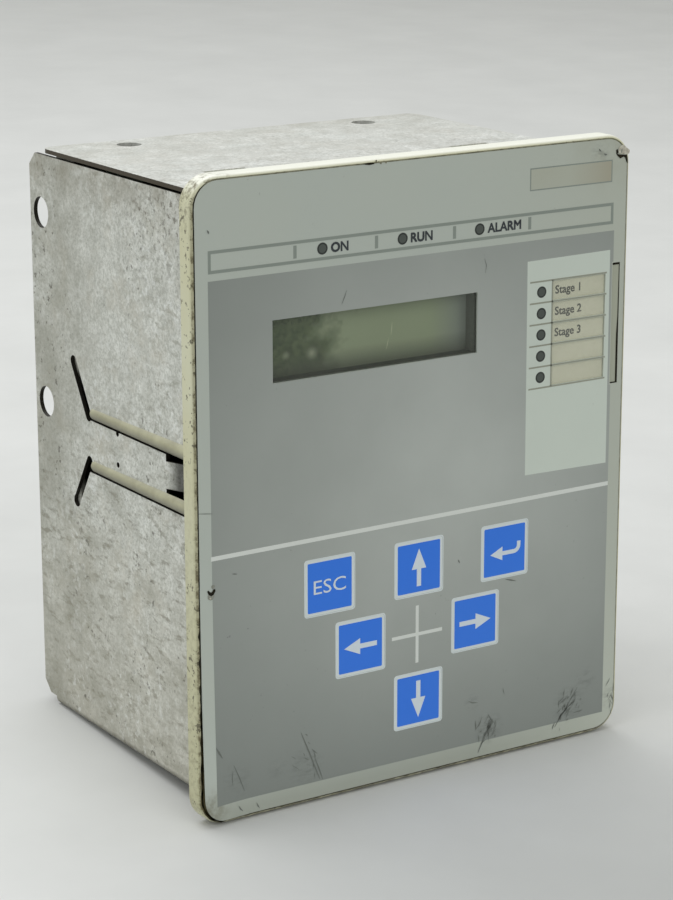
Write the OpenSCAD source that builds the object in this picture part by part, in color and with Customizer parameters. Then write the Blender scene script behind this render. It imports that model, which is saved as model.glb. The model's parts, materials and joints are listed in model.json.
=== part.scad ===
// Flush-mounted protection relay: moulded front frame with membrane keys and a character display,
// folded sheet-steel case with side clips, circuit boards and rear terminals.
// Drawn from the middle of the front face: X to the right, Y into the case, Z up.

/* [Front frame] */
// Width of the front frame
frame_w = 141; // [138:0.5:150]
// Height of the front frame
frame_h = 175.6; // [174:0.2:184]
// Depth of the rim from the front face to its rear edge
rim_d = 5.5; // [5:0.5:9]
// Corner radius of the frame seen from the front
frame_r = 8; // [6:0.5:12]
// Rounding of the front edge
edge_r = 1.2; // [0.6:0.1:1.6]
// Thickness of the front wall behind the film
front_wall = 2.5; // [2:0.25:3.5]
// Thickness of the rim, the collar and the snap arms
frame_wall = 2; // [1.5:0.25:2.5]
// Depth of the collar that enters the case
collar_d = 9; // [6:0.5:9.5]
// Clearance between the collar and the case sheet
collar_gap = 0.3; // [0.2:0.05:0.5]

/* [Overlay film] */
// Thickness of the printed film
film_t = 0.5; // [0.3:0.05:0.8]
// Distance from the frame's outer edge to the film's edge
film_margin = 1.1; // [0.9:0.1:2]
// Gap between the film and the recess around it
film_gap = 0.3; // [0.1:0.05:0.5]

/* [Display] */
// Width of the printed display window
window_w = 65.3; // [60:0.1:70]
// Height of the printed display window
window_h = 16.9; // [14:0.1:20]
// Display centre to the right of the frame's middle
window_x = -13.9; // [-18:0.1:-8]
// Display centre above the frame's middle
window_z = 40.1; // [36:0.1:42]
// Thickness of the clear window
lens_t = 1; // [0.8:0.1:1.5]
// How far the clear window reaches past the printed one
lens_lip = 4.4; // [3.8:0.1:6]
// Width of the ledge that carries the clear window
lens_ledge = 1.4; // [1:0.1:2]
// Width of the display module's metal bezel
bezel_w = 71.2; // [70.5:0.1:78]
// Height of the display module's metal bezel
bezel_h = 25.2; // [22:0.1:30]
// Depth of the bezel
bezel_d = 5.6; // [4:0.1:7]
// Thickness of the bezel's metal
bezel_wall = 0.8; // [0.5:0.1:1.2]
// Gap between the bezel and the front wall
bezel_gap = 0.4; // [0.2:0.1:1]
// How far the glass lies behind the bezel's face
glass_drop = 2; // [1:0.1:2.5]
// Thickness of the display glass
glass_t = 1.6; // [1:0.1:2]
// Width of the display's own board
lcd_board_w = 80; // [79:0.5:88]
// Height of the display's own board
lcd_board_h = 36; // [34:0.5:40]
// Distance of the display board's holes from its edges
lcd_hole_inset = 2.5; // [2.2:0.1:3]
// Diameter of the display board's spacers
lcd_spacer_d = 4; // [3.5:0.1:4.5]

/* [Keys] */
// Side of a square key
key_size = 15.7; // [13:0.1:17]
// Corner radius of a key
key_r = 0.9; // [0.4:0.1:2]
// Distance between neighbouring keys of the cross, and height of the upper row above it
key_pitch = 19.2; // [18:0.1:21]
// Distance of the two outer keys from the middle column
key_column = 29.1; // [26:0.1:34]
// Height of the cross's centre above the frame's middle
cross_z = -45.7; // [-48:0.1:-42]
// Gap round a key
key_gap = 0.15; // [0.1:0.01:0.3]
// Travel of a key
key_travel = 0.4; // [0.2:0.05:0.6]
// Diameter of a key's stem
stem_d = 6; // [4:0.1:8]
// Clearance round a stem, and left at the end of its travel
stem_gap = 0.3; // [0.2:0.05:0.5]

/* [Lamps and label card] */
// Diameter of a lamp's light guide
lamp_d = 3.2; // [2.6:0.1:3.6]
// Clearance round a light guide
lamp_gap = 0.1; // [0.05:0.01:0.2]
// Diameter of a light guide's shoulder behind the front wall
lamp_shoulder_d = 4.6; // [4.2:0.1:5.4]
// Thickness of that shoulder
lamp_shoulder_t = 1; // [0.6:0.1:2]
// First status lamp to the right of the frame's middle
status_x = -31; // [-34:0.1:-29]
// Distance between status lamps
status_pitch = 25.1; // [24:0.1:26]
// Height of the status lamps
status_z = 65.8; // [65:0.1:67]
// Distance of the alarm lamps from the frame's right edge
alarm_inset = 30; // [29.9:0.1:32.5]
// Distance between alarm lamps, and height of a card row
alarm_pitch = 6.05; // [5.8:0.05:6.1]
// Height of the middle alarm lamp
alarm_z = 34; // [33:0.1:35]
// Number of alarm lamps and card rows
alarm_count = 5; // [3:1:5]
// Distance of the label windows' left edge from the frame's right edge
label_inset = 26.3; // [25.5:0.1:26.7]
// Width of the label windows
label_w = 18.8; // [16:0.1:19]
// Thickness of the label windows
label_t = 0.2; // [0.1:0.05:0.3]
// Width of the bar of film between two label windows
label_bar = 0.6; // [0.4:0.05:1]
// Distance of the card's right edge from the frame's right edge
card_inset = 2.7; // [2.5:0.1:3.5]
// Width of the slot in which the card's end shows
card_slot_w = 2.6; // [2:0.1:3]
// Thickness of the card
card_t = 0.3; // [0.2:0.05:0.4]
// Room round the card in its pocket
card_gap = 0.3; // [0.15:0.05:0.5]
// How far the card reaches past the label rows
card_margin = 1.8; // [1:0.1:2.4]

/* [Case] */
// How far the frame stands out beside the case
flange_w = 7.1; // [5.5:0.1:9.5]
// Height of the upper plate's top above the frame's middle
case_top = 82.5; // [81:0.1:84]
// Height of the case's underside
case_bottom = -84; // [-85:0.1:-82]
// Depth of the side walls from the front face to their rear edge
wall_d = 104.5; // [103:0.5:120]
// Depth of the upper plate and of the bottom
plate_d = 97.3; // [93:0.1:100]
// Thickness of the case sheet
sheet_t = 1.2; // [0.8:0.1:1.5]
// Inner bend radius of the sheet
bend_r = 1; // [0.5:0.1:2]
// Gap between a side wall's upper edge and the plate above it
lid_gap = 0.7; // [0.4:0.1:1]
// Chamfer of the side walls' rear corners
ear_chamfer = 3.5; // [2:0.1:5]
// Corner radius at the rear of the upper plate
plate_r = 4; // [2:0.5:8]
// Distance of the upper and lower holes from the front face
plate_hole_y = 88.5; // [85:0.1:89]
// Distance of those holes from the middle
plate_hole_x = 39.7; // [36:0.1:44]
// Diameter of those holes
plate_hole_d = 7.2; // [5:0.1:8]
// Distance of the side holes from the front face
side_hole_y = 98; // [96.5:0.1:98.2]
// Height of the upper side hole
side_hole_top = 64; // [60:0.5:68]
// Height of the lower side hole
side_hole_low = 8.7; // [6:0.1:12]
// Diameter of the side holes
side_hole_d = 9; // [6:0.1:9]

/* [Snap hooks] */
// Distance of a hook's middle from the frame's middle
hook_x = 40; // [34:0.5:44]
// Width of a hook's slot
hook_slot_w = 13; // [10:0.5:16]
// Front edge of a hook's slot
hook_slot_y = 30.5; // [29.5:0.1:31]
// Depth of a hook's slot
hook_slot_d = 5; // [4:0.1:6]
// Clearance of a hook in its slot
hook_gap = 0.25; // [0.15:0.05:0.4]

/* [Side clip] */
// Height of the clip's middle
clip_z = 2.45; // [0:0.05:6]
// Distance of the slots from the clip's middle
slot_half = 7.6; // [7.2:0.1:8.6]
// Width of a slot
slot_w = 2.4; // [2:0.1:3]
// Distance from the front face to where a slot turns
slot_bend_y = 72; // [71:0.5:74]
// Distance from the front face to a slot's end
slot_end_y = 80.4; // [79:0.1:82]
// Distance of the upper slot's end from the clip's middle
slot_end_up = 21.65; // [16:0.05:24]
// Distance of the lower slot's end from the clip's middle
slot_end_low = 19.25; // [16:0.05:24]
// How far above its straight part the lower slot's slanted part starts
slot_turn_rise = 1.7; // [0:0.1:2]
// Width of a slot's slanted part
slot_turn_w = 3.4; // [2.6:0.1:3.8]
// Width of the lower slot at its end
slot_end_w = 3.7; // [3:0.1:4]
// Width of an arm at the frame
arm_w = 4.3; // [3.9:0.1:5]
// Width of an arm at its end
arm_tip_w = 3; // [2.6:0.1:3.6]
// How far an arm stands proud of the case at the frame
arm_h = 1.35; // [1:0.05:1.5]
// Distance from the front face to an arm's end
arm_end_y = 69.5; // [60:0.5:70]
// How far an arm lies above the middle of its slot
arm_shift = 1.55; // [1.2:0.05:1.7]
// Thickness of the web that runs in the slot
web_t = 1.5; // [1:0.1:1.6]
// How far the web lies above the middle of its slot
web_shift = 0.3; // [0.1:0.05:0.35]
// Distance from the front face to the end of the spring tongue
tongue_y = 27.7; // [26:0.1:32]
// Reach of the tongue's bent tab above the clip's middle
tongue_tab_up = 4.4; // [3:0.1:4.8]
// Reach of that tab below the clip's middle
tongue_tab_low = 3.2; // [2.6:0.1:3.4]
// How far the tab bends into the case
tongue_bend = 4.6; // [1.5:0.1:5]
// Distance from the front face to the tab's tip
tongue_tip_y = 15.8; // [15.6:0.1:18]
// Distance of the relief notches from the front face
notch_y = 55; // [50:0.5:60]
// Distance of the upper relief notch from the clip's middle
notch_up = 6; // [5.6:0.1:6.4]
// Distance of the lower relief notch from the clip's middle
notch_low = 2.9; // [2.4:0.1:3.2]
// Diameter of a relief notch
notch_d = 1.6; // [1:0.1:2]

/* [Boards] */
// Distance from the front face to the board behind it
hmi_y = 13; // [12.8:0.1:16]
// Thickness of a circuit board
board_t = 1.6; // [1:0.1:2]
// Gap between the front board's sides and the collar
hmi_side_gap = 1.9; // [1:0.1:3]
// Gap between the front board's upper and lower edges and the collar
hmi_end_gap = 4.75; // [3:0.05:6]
// Distance of the bosses from the front board's sides
boss_inset_x = 6; // [5:0.5:7]
// Distance of the outer bosses from the front board's upper and lower edges
boss_inset_z = 4.5; // [4:0.25:5]
// Height of the middle pair of bosses
boss_mid_z = -6; // [-8:0.5:0]
// Diameter of a boss
boss_d = 7; // [6:0.25:7.5]
// Diameter of a boss's pilot hole
pilot_d = 2.6; // [2.2:0.1:3]
// Distance from the front face to the processor board
cpu_y = 50; // [48:0.5:54]
// Gap between the two rear boards and the case at their sides
board_side_gap = 5.2; // [3:0.1:6]
// Height of the two rear boards
board_h = 146; // [142:0.5:150]
// Distance of the posts from the rear boards' sides
post_inset_x = 6; // [5:0.25:8]
// Distance of the posts from the rear boards' upper and lower edges
post_inset_z = 7; // [6:0.25:9]
// Width of a post across its flats
post_af = 5.5; // [5:0.1:6.5]
// Diameter of the posts' screws
screw_d = 3; // [2.5:0.1:3.2]
// Clearance round a screw in its hole
screw_gap = 0.15; // [0.1:0.01:0.25]
// Length of the spacers behind the rear board
io_gap = 8; // [6.5:0.25:10]
// Side of a key switch
switch_w = 6; // [5:0.1:7]
// Height of a key switch's body
switch_h = 3.5; // [3:0.1:4.5]
// Diameter of a key switch's plunger
plunger_d = 3.5; // [2.5:0.1:4]
// Height of a key switch's plunger
plunger_h = 1.8; // [1:0.1:2.5]
// Height of a lamp chip
chip_h = 0.8; // [0.5:0.1:1.2]
// Width of the ribbon lead
ribbon_w = 25.4; // [20:0.1:30]
// Thickness of the ribbon lead
ribbon_t = 1; // [0.8:0.1:1.4]
// Height of a ribbon header
header_h = 9; // [7:0.5:10]
// Height at which the ribbon leaves the front board
ribbon_top_z = 10; // [6:0.5:14]
// Height at which it reaches the processor board
ribbon_low_z = -30; // [-36:0.5:-26]

/* [Rear] */
// Distance from the front face to the recessed rear panel
rear_y = 90; // [88.5:0.1:91]
// Depth of the rear panel's flanges
flange_d = 11; // [8:0.5:12]
// Gap between the rear panel's flanges and the case
panel_gap = 0.1; // [0.05:0.01:0.2]
// Clearance round the terminals in the rear panel
port_gap = 0.5; // [0.3:0.05:1]
// Number of current terminals
current_poles = 8; // [4:1:8]
// Distance between current terminals
current_pitch = 10; // [9:0.1:11]
// Height of the current terminals
current_z = -34; // [-36:0.5:-30]
// Height of their block
current_h = 22; // [18:0.5:24]
// Depth of their block from the rear board
current_d = 19; // [17:0.5:20]
// Diameter of a current terminal's screw head
current_head_d = 7; // [5:0.1:7.5]
// Number of signal terminals in a row
signal_poles = 10; // [6:1:12]
// Distance between signal terminals
signal_pitch = 5.08; // [5:0.01:6.35]
// Height of the lower row of signal terminals
signal_z = 18; // [14:0.5:20]
// Distance between the two rows of signal terminals
signal_rows = 30; // [24:0.5:32]
// Height of a signal block
signal_h = 15; // [13:0.5:18]
// Depth of a signal block from the rear board
signal_d = 16; // [14:0.5:18]
// Place of the earth stud to the right of the middle
earth_x = 36; // [30:0.5:40]
// Height of the earth stud
earth_z = -66; // [-70:0.5:-62]
// Diameter of the earth stud
earth_d = 5; // [4:0.1:6]

/* [Hidden] */
$fn = 48;
// Overcut of holes, and overlap of shapes joined into one piece
cut = 0.6;
weld = 0.4;

overlay_w = frame_w - 2 * film_margin;
overlay_h = frame_h - 2 * film_margin;
overlay_r = frame_r - film_margin;
wall_front_y = film_t + front_wall;

case_w = frame_w - 2 * flange_w;
case_in = case_w / 2 - sheet_t;
lid_low = case_top - sheet_t;
floor_top = case_bottom + sheet_t;
wall_top = lid_low - lid_gap;
inner_mid = (lid_low + floor_top) / 2;
inner_h = lid_low - floor_top;

collar_w = 2 * (case_in - collar_gap);
collar_h = inner_h - 2 * collar_gap;
collar_end_y = wall_front_y + collar_d;
collar_r = bend_r + collar_gap;
bend_relief = 0.4;

lens_w = window_w + 2 * lens_lip;
lens_h = window_h + 2 * lens_lip;
lens_gap = 0.2;
bezel_y = wall_front_y + bezel_gap;
bezel_open_lip = 0.6;
lcd_board_y = bezel_y + bezel_d;
glass_y = bezel_y + glass_drop;
glass_fit = 0.1;

top_row_z = cross_z + key_pitch;
key_spots = [
    [-key_column, top_row_z],
    [0, top_row_z],
    [key_column, top_row_z],
    [-key_pitch, cross_z],
    [key_pitch, cross_z],
    [0, cross_z - key_pitch]
];
well_d = key_travel + stem_gap;
plunger_y = hmi_y - switch_h - plunger_h;
stem_end_y = plunger_y - key_travel - stem_gap;

alarm_x = frame_w / 2 - alarm_inset;
label_x = frame_w / 2 - label_inset;
card_x = frame_w / 2 - card_inset;
status_spots = [for (i = [0:2]) [status_x + i * status_pitch, status_z]];
alarm_spots = [for (i = [0:alarm_count - 1]) [alarm_x, alarm_z + ((alarm_count - 1) / 2 - i) * alarm_pitch]];
lamp_spots = concat(status_spots, alarm_spots);
label_h = alarm_pitch - label_bar;
rows_h = alarm_count * alarm_pitch;
label_mid_x = label_x + label_w / 2;
card_overlap = 0.8;
card_left = label_x - card_overlap;
card_h = rows_h + 2 * card_margin;
card_w = card_x - card_left;

arm_end_step = 0.05;
web_bite = 0.1;
slot_spots = [for (s = [-1, 1]) clip_z + s * slot_half];
arm_spots = [for (z = slot_spots) z + arm_shift];

hmi_w = collar_w - 2 * (frame_wall + hmi_side_gap);
hmi_h = collar_h - 2 * (frame_wall + hmi_end_gap);
boss_x = hmi_w / 2 - boss_inset_x;
boss_z = hmi_h / 2 - boss_inset_z;
board_w = 2 * (case_in - board_side_gap);
post_x = board_w / 2 - post_inset_x;
post_z = board_h / 2 - post_inset_z;
boss_spots = [for (s = [-1, 1]) for (z = [boss_z, boss_mid_z, -boss_z]) [s * boss_x, z]];
post_spots = [for (sx = [-1, 1]) for (sz = [-1, 1]) [sx * post_x, sz * post_z]];
hmi_back_y = hmi_y + board_t;
cpu_back_y = cpu_y + board_t;
io_back_y = rear_y - io_gap;
io_y = io_back_y - board_t;
panel_back_y = rear_y + sheet_t;
hole_d = screw_d + 2 * screw_gap;
head_d = 1.9 * screw_d;
head_h = 0.7 * screw_d;
drive_w = 0.25 * screw_d;
screw_l = 6;
pilot_depth = screw_l - board_t + 1;
header_ends = 6;
turn_step = 15;
package_t = 2;
stud_l = 0.4 * io_gap;
rear_screw_l = 0.5 * io_gap;

barrier_t = 1.6;
barrier_h = 6;
barrier_back = 3;
clamp_t = 1;
clamp_gap = 0.4;
current_head_h = 2.4;
current_w = current_poles * current_pitch + 2 * barrier_t;
current_face = current_d - barrier_h;
current_screw_z = current_z - barrier_back / 2;
current_columns = [for (i = [0:current_poles - 1]) (i + 0.5 - current_poles / 2) * current_pitch];
current_spots = [for (x = current_columns) [x, current_screw_z]];

signal_end = 1;
signal_screw_d = 3.4;
signal_screw_h = 4;
signal_screw_drop = 1;
signal_slot_d = 1;
signal_well = signal_screw_h + signal_screw_drop;
wire_depth = 8;
wire_wall = 0.75;
signal_w = signal_poles * signal_pitch + 2 * signal_end;
signal_rows_z = [signal_z, signal_z + signal_rows];
signal_columns = [for (i = [0:signal_poles - 1]) (i + 0.5 - signal_poles / 2) * signal_pitch];

// Places the drawing so that the frame's lower edge is at zero and the depth is centred
module at_datum() translate([0, -wall_d / 2, frame_h / 2]) children();

// Extrudes a shape drawn in X and Z from depth y0
module along_y(y0, depth) translate([0, y0 + depth, 0]) rotate([90, 0, 0]) linear_extrude(depth) children();

// Extrudes a shape drawn in Y and Z from x0
module along_x(x0, length) translate([x0, 0, 0]) rotate([90, 0, 90]) linear_extrude(length) children();

// Round post or hole along Y
module rod(spot, y0, depth, d) along_y(y0, depth) translate(spot) circle(d = d);

module rounded(w, h, r) {
    square([w - 2 * r, h], center = true);
    square([w, h - 2 * r], center = true);
    for (sx = [-1, 1], sz = [-1, 1]) translate([sx * (w / 2 - r), sz * (h / 2 - r)]) circle(r = r);
}

// Hexagon of a given width across its flats
module hexagon(af) circle(d = af / cos(30), $fn = 6);

module box_at(x, y0, z, w, d, h) translate([x - w / 2, y0, z - h / 2]) cube([w, d, h]);

// Pan-head screw whose head sits in front of depth y0 and whose shank runs towards +Y
module screw(spot, y0, length) {
    difference() {
        rod(spot, y0 - head_h, head_h, head_d);
        box_at(spot[0], y0 - head_h - cut, spot[1], drive_w, head_h / 2 + cut, head_d + cut);
    }
    rod(spot, y0 - weld, length + weld, screw_d);
}

// Section of the frame's edge: depth along X, outwards along Y, with the front edge rounded
module edge_section() {
    square([rim_d, frame_r - edge_r]);
    translate([edge_r, 0]) square([rim_d - edge_r, frame_r]);
    translate([edge_r, frame_r - edge_r]) circle(r = edge_r);
}

// Sweeps the edge section round a rectangle of corner radius frame_r
module swept_edge() {
    for (turn = [0:3]) {
        span = turn % 2 == 0 ? frame_w : frame_h;
        reach = turn % 2 == 0 ? frame_h : frame_w;
        rotate([0, turn * 90, 0]) translate([0, 0, reach / 2 - frame_r]) {
            along_x(frame_r - span / 2, span - 2 * frame_r) edge_section();
            translate([span / 2 - frame_r, 0, 0]) rotate([-90, 0, 0]) rotate([0, 0, -90])
                rotate_extrude(angle = 90) mirror([1, -1]) edge_section();
        }
    }
    box_at(0, 0, 0, frame_w - 2 * frame_r, rim_d, frame_h - 2 * frame_r);
}

module key_outline(grow) rounded(key_size + 2 * grow, key_size + 2 * grow, key_r);

// Crowned clip arm on the side sheet, tapered along its upper edge to a round end, and the web that
// carries it in the sheet's slot
module clip_arm(arm_z, slot_z) {
    start_y = wall_front_y - weld;
    length = arm_end_y - start_y;
    crown_r = (arm_w * arm_w / 4 + arm_h * arm_h) / (2 * arm_h);
    axis_drop = crown_r - arm_h;
    tip_r = norm([arm_tip_w / 2, axis_drop]);
    lean = atan2((arm_w - arm_tip_w) / 2, length);
    intersection() {
        translate([case_w / 2 - axis_drop, start_y, arm_z]) rotate([-90 - lean, 0, 0]) {
            cylinder(h = length, r1 = crown_r, r2 = tip_r);
            translate([0, 0, length]) sphere(r = tip_r - arm_end_step);
        }
        translate([case_w / 2, 0, arm_z - arm_w]) cube([arm_h + cut, arm_end_y + arm_w, 2 * arm_w]);
    }
    along_y(start_y, length) translate([case_in - collar_gap - weld, slot_z + web_shift - web_t / 2])
        square([sheet_t + collar_gap + weld + web_bite, web_t]);
}

// Snap arm under the upper plate, with a ramped hook that stands in the plate's slot
module snap_arm() {
    arm_z = collar_h / 2;
    hook_w = hook_slot_w - 2 * hook_gap;
    catch_y = hook_slot_y + hook_gap;
    tip_y = hook_slot_y + hook_slot_d - hook_gap;
    crest_z = arm_z + collar_gap + sheet_t - hook_gap;
    along_x(-hook_w / 2, hook_w) polygon([
        [collar_end_y - weld, arm_z - frame_wall],
        [tip_y, arm_z - frame_wall],
        [tip_y, arm_z],
        [catch_y + (tip_y - catch_y) / 3, crest_z],
        [catch_y, crest_z],
        [catch_y, arm_z],
        [collar_end_y - weld, arm_z]
    ]);
}

module front_frame() color("#cdd0a5") at_datum() difference() {
    union() {
        difference() {
            swept_edge();
            along_y(wall_front_y, rim_d)
                rounded(frame_w - 2 * frame_wall, frame_h - 2 * frame_wall, frame_r - frame_wall);
        }
        translate([0, 0, inner_mid]) {
            along_y(wall_front_y - weld, collar_d + weld) difference() {
                rounded(collar_w, collar_h, collar_r);
                square([collar_w - 2 * frame_wall, collar_h - 2 * frame_wall], center = true);
            }
            for (sx = [-1, 1], sz = [0, 1]) mirror([0, 0, sz]) translate([sx * hook_x, 0, 0]) snap_arm();
        }
        for (s = boss_spots) rod(s, wall_front_y - weld, hmi_y - wall_front_y + weld, boss_d);
        for (sx = [0, 1], i = [0, 1]) mirror([sx, 0, 0]) clip_arm(arm_spots[i], slot_spots[i]);
    }
    along_y(-cut, film_t + cut)
        rounded(overlay_w + 2 * film_gap, overlay_h + 2 * film_gap, overlay_r + film_gap);
    translate([window_x, 0, window_z]) {
        box_at(0, 0, 0, lens_w + 2 * lens_gap, film_t + lens_t, lens_h + 2 * lens_gap);
        box_at(0, 0, 0, lens_w - 2 * lens_ledge, wall_front_y + cut, lens_h - 2 * lens_ledge);
    }
    for (k = key_spots) {
        along_y(0, film_t + well_d) translate(k) key_outline(key_gap);
        rod(k, 0, wall_front_y + cut, stem_d + 2 * stem_gap);
    }
    for (s = lamp_spots) rod(s, 0, wall_front_y + cut, lamp_d + 2 * lamp_gap);
    box_at(card_left + card_w / 2, 0, alarm_z, card_w + 2 * card_gap, film_t + card_t + card_gap / 2,
        card_h + 2 * card_gap);
    for (s = boss_spots) rod(s, hmi_y - pilot_depth, pilot_depth + cut, pilot_d);
}

module overlay_film() color("#a0aaa2") at_datum() along_y(0, film_t) difference() {
    rounded(overlay_w, overlay_h, overlay_r);
    translate([window_x, window_z]) square([window_w, window_h], center = true);
    for (k = key_spots) translate(k) key_outline(key_gap);
    for (s = alarm_spots) translate([label_mid_x, s[1]]) square([label_w, label_h], center = true);
    translate([card_x - card_slot_w / 2, alarm_z]) square([card_slot_w, card_h], center = true);
}

// Printed pad flush with the film, and the stem behind it that works the switch
module key(spot) color("#3e73d2") at_datum() {
    along_y(0, film_t) translate(spot) key_outline(0);
    rod(spot, film_t - weld, stem_end_y - film_t + weld, stem_d);
}

module key_esc() key(key_spots[0]);
module key_up() key(key_spots[1]);
module key_enter() key(key_spots[2]);
module key_left() key(key_spots[3]);
module key_right() key(key_spots[4]);
module key_down() key(key_spots[5]);

module display_window() color("#c8d0cc") at_datum()
    box_at(window_x, film_t, window_z, lens_w, lens_t, lens_h);

// One clear pane in each opening of the film
module label_window() color("#d8d8cc") at_datum() for (s = alarm_spots)
    box_at(label_mid_x, film_t - label_t, s[1], label_w - 2 * key_gap, label_t, label_h - 2 * key_gap);

module legend_card() color("#c6c2aa") at_datum()
    box_at(card_left + card_w / 2, film_t, alarm_z, card_w, card_t, card_h);

// Clear guide from a lamp chip to the film, with a shoulder behind the front wall
module light_pipe(spot) {
    rod(spot, film_t, hmi_y - chip_h - film_t, lamp_d);
    rod(spot, wall_front_y, lamp_shoulder_t, lamp_shoulder_d);
}

module status_light_pipes() color("#4a4f4c") at_datum() for (s = status_spots) light_pipe(s);
module alarm_light_pipes() color("#4a4f4c") at_datum() for (s = alarm_spots) light_pipe(s);

module lcd_bezel() color("#26292a") at_datum() translate([window_x, 0, window_z]) difference() {
    box_at(0, bezel_y, 0, bezel_w, bezel_d, bezel_h);
    box_at(0, bezel_y - cut, 0, window_w + 2 * bezel_open_lip, glass_drop + cut + weld,
        window_h + 2 * bezel_open_lip);
    box_at(0, glass_y, 0, bezel_w - 2 * bezel_wall, bezel_d, bezel_h - 2 * bezel_wall);
}

module lcd_glass() color("#69705a") at_datum() box_at(window_x, glass_y, window_z,
    bezel_w - 2 * (bezel_wall + glass_fit), glass_t, bezel_h - 2 * (bezel_wall + glass_fit));

module lcd_backlight() color("#dfe2d4") at_datum() box_at(window_x, glass_y + glass_t, window_z,
    bezel_w - 2 * (bezel_wall + glass_fit), lcd_board_y - glass_y - glass_t,
    bezel_h - 2 * (bezel_wall + glass_fit));

lcd_holes = [for (sx = [-1, 1], sz = [-1, 1]) [
    window_x + sx * (lcd_board_w / 2 - lcd_hole_inset),
    window_z + sz * (lcd_board_h / 2 - lcd_hole_inset)
]];

module lcd_board() color("#2f6b43") at_datum() difference() {
    box_at(window_x, lcd_board_y, window_z, lcd_board_w, board_t, lcd_board_h);
    for (h = lcd_holes) rod(h, lcd_board_y - cut, board_t + 2 * cut, pilot_d);
}

module lcd_spacers() color("#d9d6c4") at_datum()
    for (h = lcd_holes) rod(h, lcd_board_y + board_t, hmi_y - lcd_board_y - board_t, lcd_spacer_d);

module hmi_board() color("#2f6b43") at_datum() difference() {
    box_at(0, hmi_y, 0, hmi_w, board_t, hmi_h);
    for (s = boss_spots) rod(s, hmi_y - cut, board_t + 2 * cut, hole_d);
}

// Seen from behind, so each screw runs towards the front
module hmi_screws() color("#b9bcbd") at_datum() for (s = boss_spots)
    translate([0, hmi_back_y, 0]) mirror([0, 1, 0]) difference() {
        union() {
            rod(s, -head_h, head_h, head_d);
            rod(s, -weld, screw_l + weld, pilot_d - 2 * screw_gap);
        }
        box_at(s[0], -head_h - cut, s[1], drive_w, head_h / 2 + cut, head_d + cut);
    }

module tact_switches() color("#33373a") at_datum() for (k = key_spots) {
    box_at(k[0], hmi_y - switch_h, k[1], switch_w, switch_h, switch_w);
    rod(k, plunger_y, plunger_h + weld, plunger_d);
}

module led_chips() color("#e6e2c0") at_datum() for (s = lamp_spots)
    box_at(s[0], hmi_y - chip_h, s[1], lamp_d - 2 * lamp_gap, chip_h, lamp_d / 2);

module hmi_header() color("#2b2d30") at_datum()
    box_at(0, hmi_back_y, ribbon_top_z, ribbon_w + header_ends, header_h, header_h);

module cpu_header() color("#2b2d30") at_datum()
    box_at(0, cpu_y - header_h, ribbon_low_z, ribbon_w + header_ends, header_h, header_h);

// Flat lead with two quarter turns between the headers, drawn along its outer and then its inner edge
module ribbon_cable() color("#9aa0a4") at_datum() {
    y0 = hmi_back_y + header_h;
    y1 = cpu_y - header_h;
    turn_r = (y1 - y0) / 2;
    upper = [y0, ribbon_top_z - turn_r];
    lower = [y1, ribbon_low_z + turn_r];
    outer_r = turn_r + ribbon_t / 2;
    inner_r = turn_r - ribbon_t / 2;
    along_x(-ribbon_w / 2, ribbon_w) polygon(concat(
        [for (a = [0:turn_step:90]) upper + outer_r * [sin(a), cos(a)]],
        [for (a = [0:turn_step:90]) lower - inner_r * [cos(a), sin(a)]],
        [for (a = [90:-turn_step:0]) lower - outer_r * [cos(a), sin(a)]],
        [for (a = [90:-turn_step:0]) upper + inner_r * [sin(a), cos(a)]]
    ));
}

// Board with a hole at each post
module rear_board(y0) difference() {
    box_at(0, y0, 0, board_w, board_t, board_h);
    for (p = post_spots) rod(p, y0 - cut, board_t + 2 * cut, hole_d);
}

module cpu_board() color("#2f6b43") at_datum() rear_board(cpu_y);
module io_board() color("#2f6b43") at_datum() rear_board(io_y);

main_chip = 20;
memory_chip = 14;
driver_chip = 10;
chip_x = 31;
chip_z = 24;

// Square packages: the processor, two memories beside it and a line driver
module cpu_chips() color("#222426") at_datum() {
    box_at(0, cpu_y - package_t, chip_z, main_chip, package_t, main_chip);
    for (s = [-1, 1]) box_at(s * chip_x, cpu_y - package_t, chip_z, memory_chip, package_t, memory_chip);
    box_at(chip_x, cpu_y - package_t, 0, driver_chip, package_t, driver_chip);
}

module cpu_screws() color("#b9bcbd") at_datum() for (p = post_spots) screw(p, cpu_y, board_t + screw_l);

// Long posts with a stud that passes through the rear board into the short ones
module cpu_standoffs() color("#c9b26a") at_datum() for (p = post_spots) {
    difference() {
        along_y(cpu_back_y, io_y - cpu_back_y) translate(p) hexagon(post_af);
        rod(p, cpu_back_y - cut, screw_l + 2 * cut, hole_d);
    }
    rod(p, io_y - weld, board_t + weld + stud_l, screw_d);
}

module io_standoffs() color("#c9b26a") at_datum() for (p = post_spots) difference() {
    along_y(io_back_y, io_gap) translate(p) hexagon(post_af);
    rod(p, io_back_y - cut, io_gap + 2 * cut, hole_d);
}

module rear_screws() color("#b9bcbd") at_datum() translate([0, panel_back_y, 0]) mirror([0, 1, 0])
    for (p = post_spots) screw(p, 0, sheet_t + rear_screw_l);

ct_w = 21;
ct_h = 26;
ct_d = 18;
ct_r = 3;
ct_bore_d = 8;
ct_floor = 3;
ct_gap = 3;
ct_pitch = ct_w + ct_gap;

// Potted current transformers with an open core
module current_transformers() color("#2a4b7c") at_datum() for (i = [-1.5:1.5]) difference() {
    along_y(io_y - ct_d, ct_d) translate([i * ct_pitch, current_z]) rounded(ct_w, ct_h, ct_r);
    rod([i * ct_pitch, current_z], io_y - ct_d - cut, ct_d - ct_floor + cut, ct_bore_d);
}

relay_w = 12.7;
relay_l = 29;
relay_h = 15.7;
relay_pitch = 20.7;
relay_x = -16;

module output_relays() color("#d7d9da") at_datum() for (i = [-1:1])
    box_at(relay_x + i * relay_pitch, io_y - relay_h, signal_z, relay_w, relay_h, relay_l);

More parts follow.
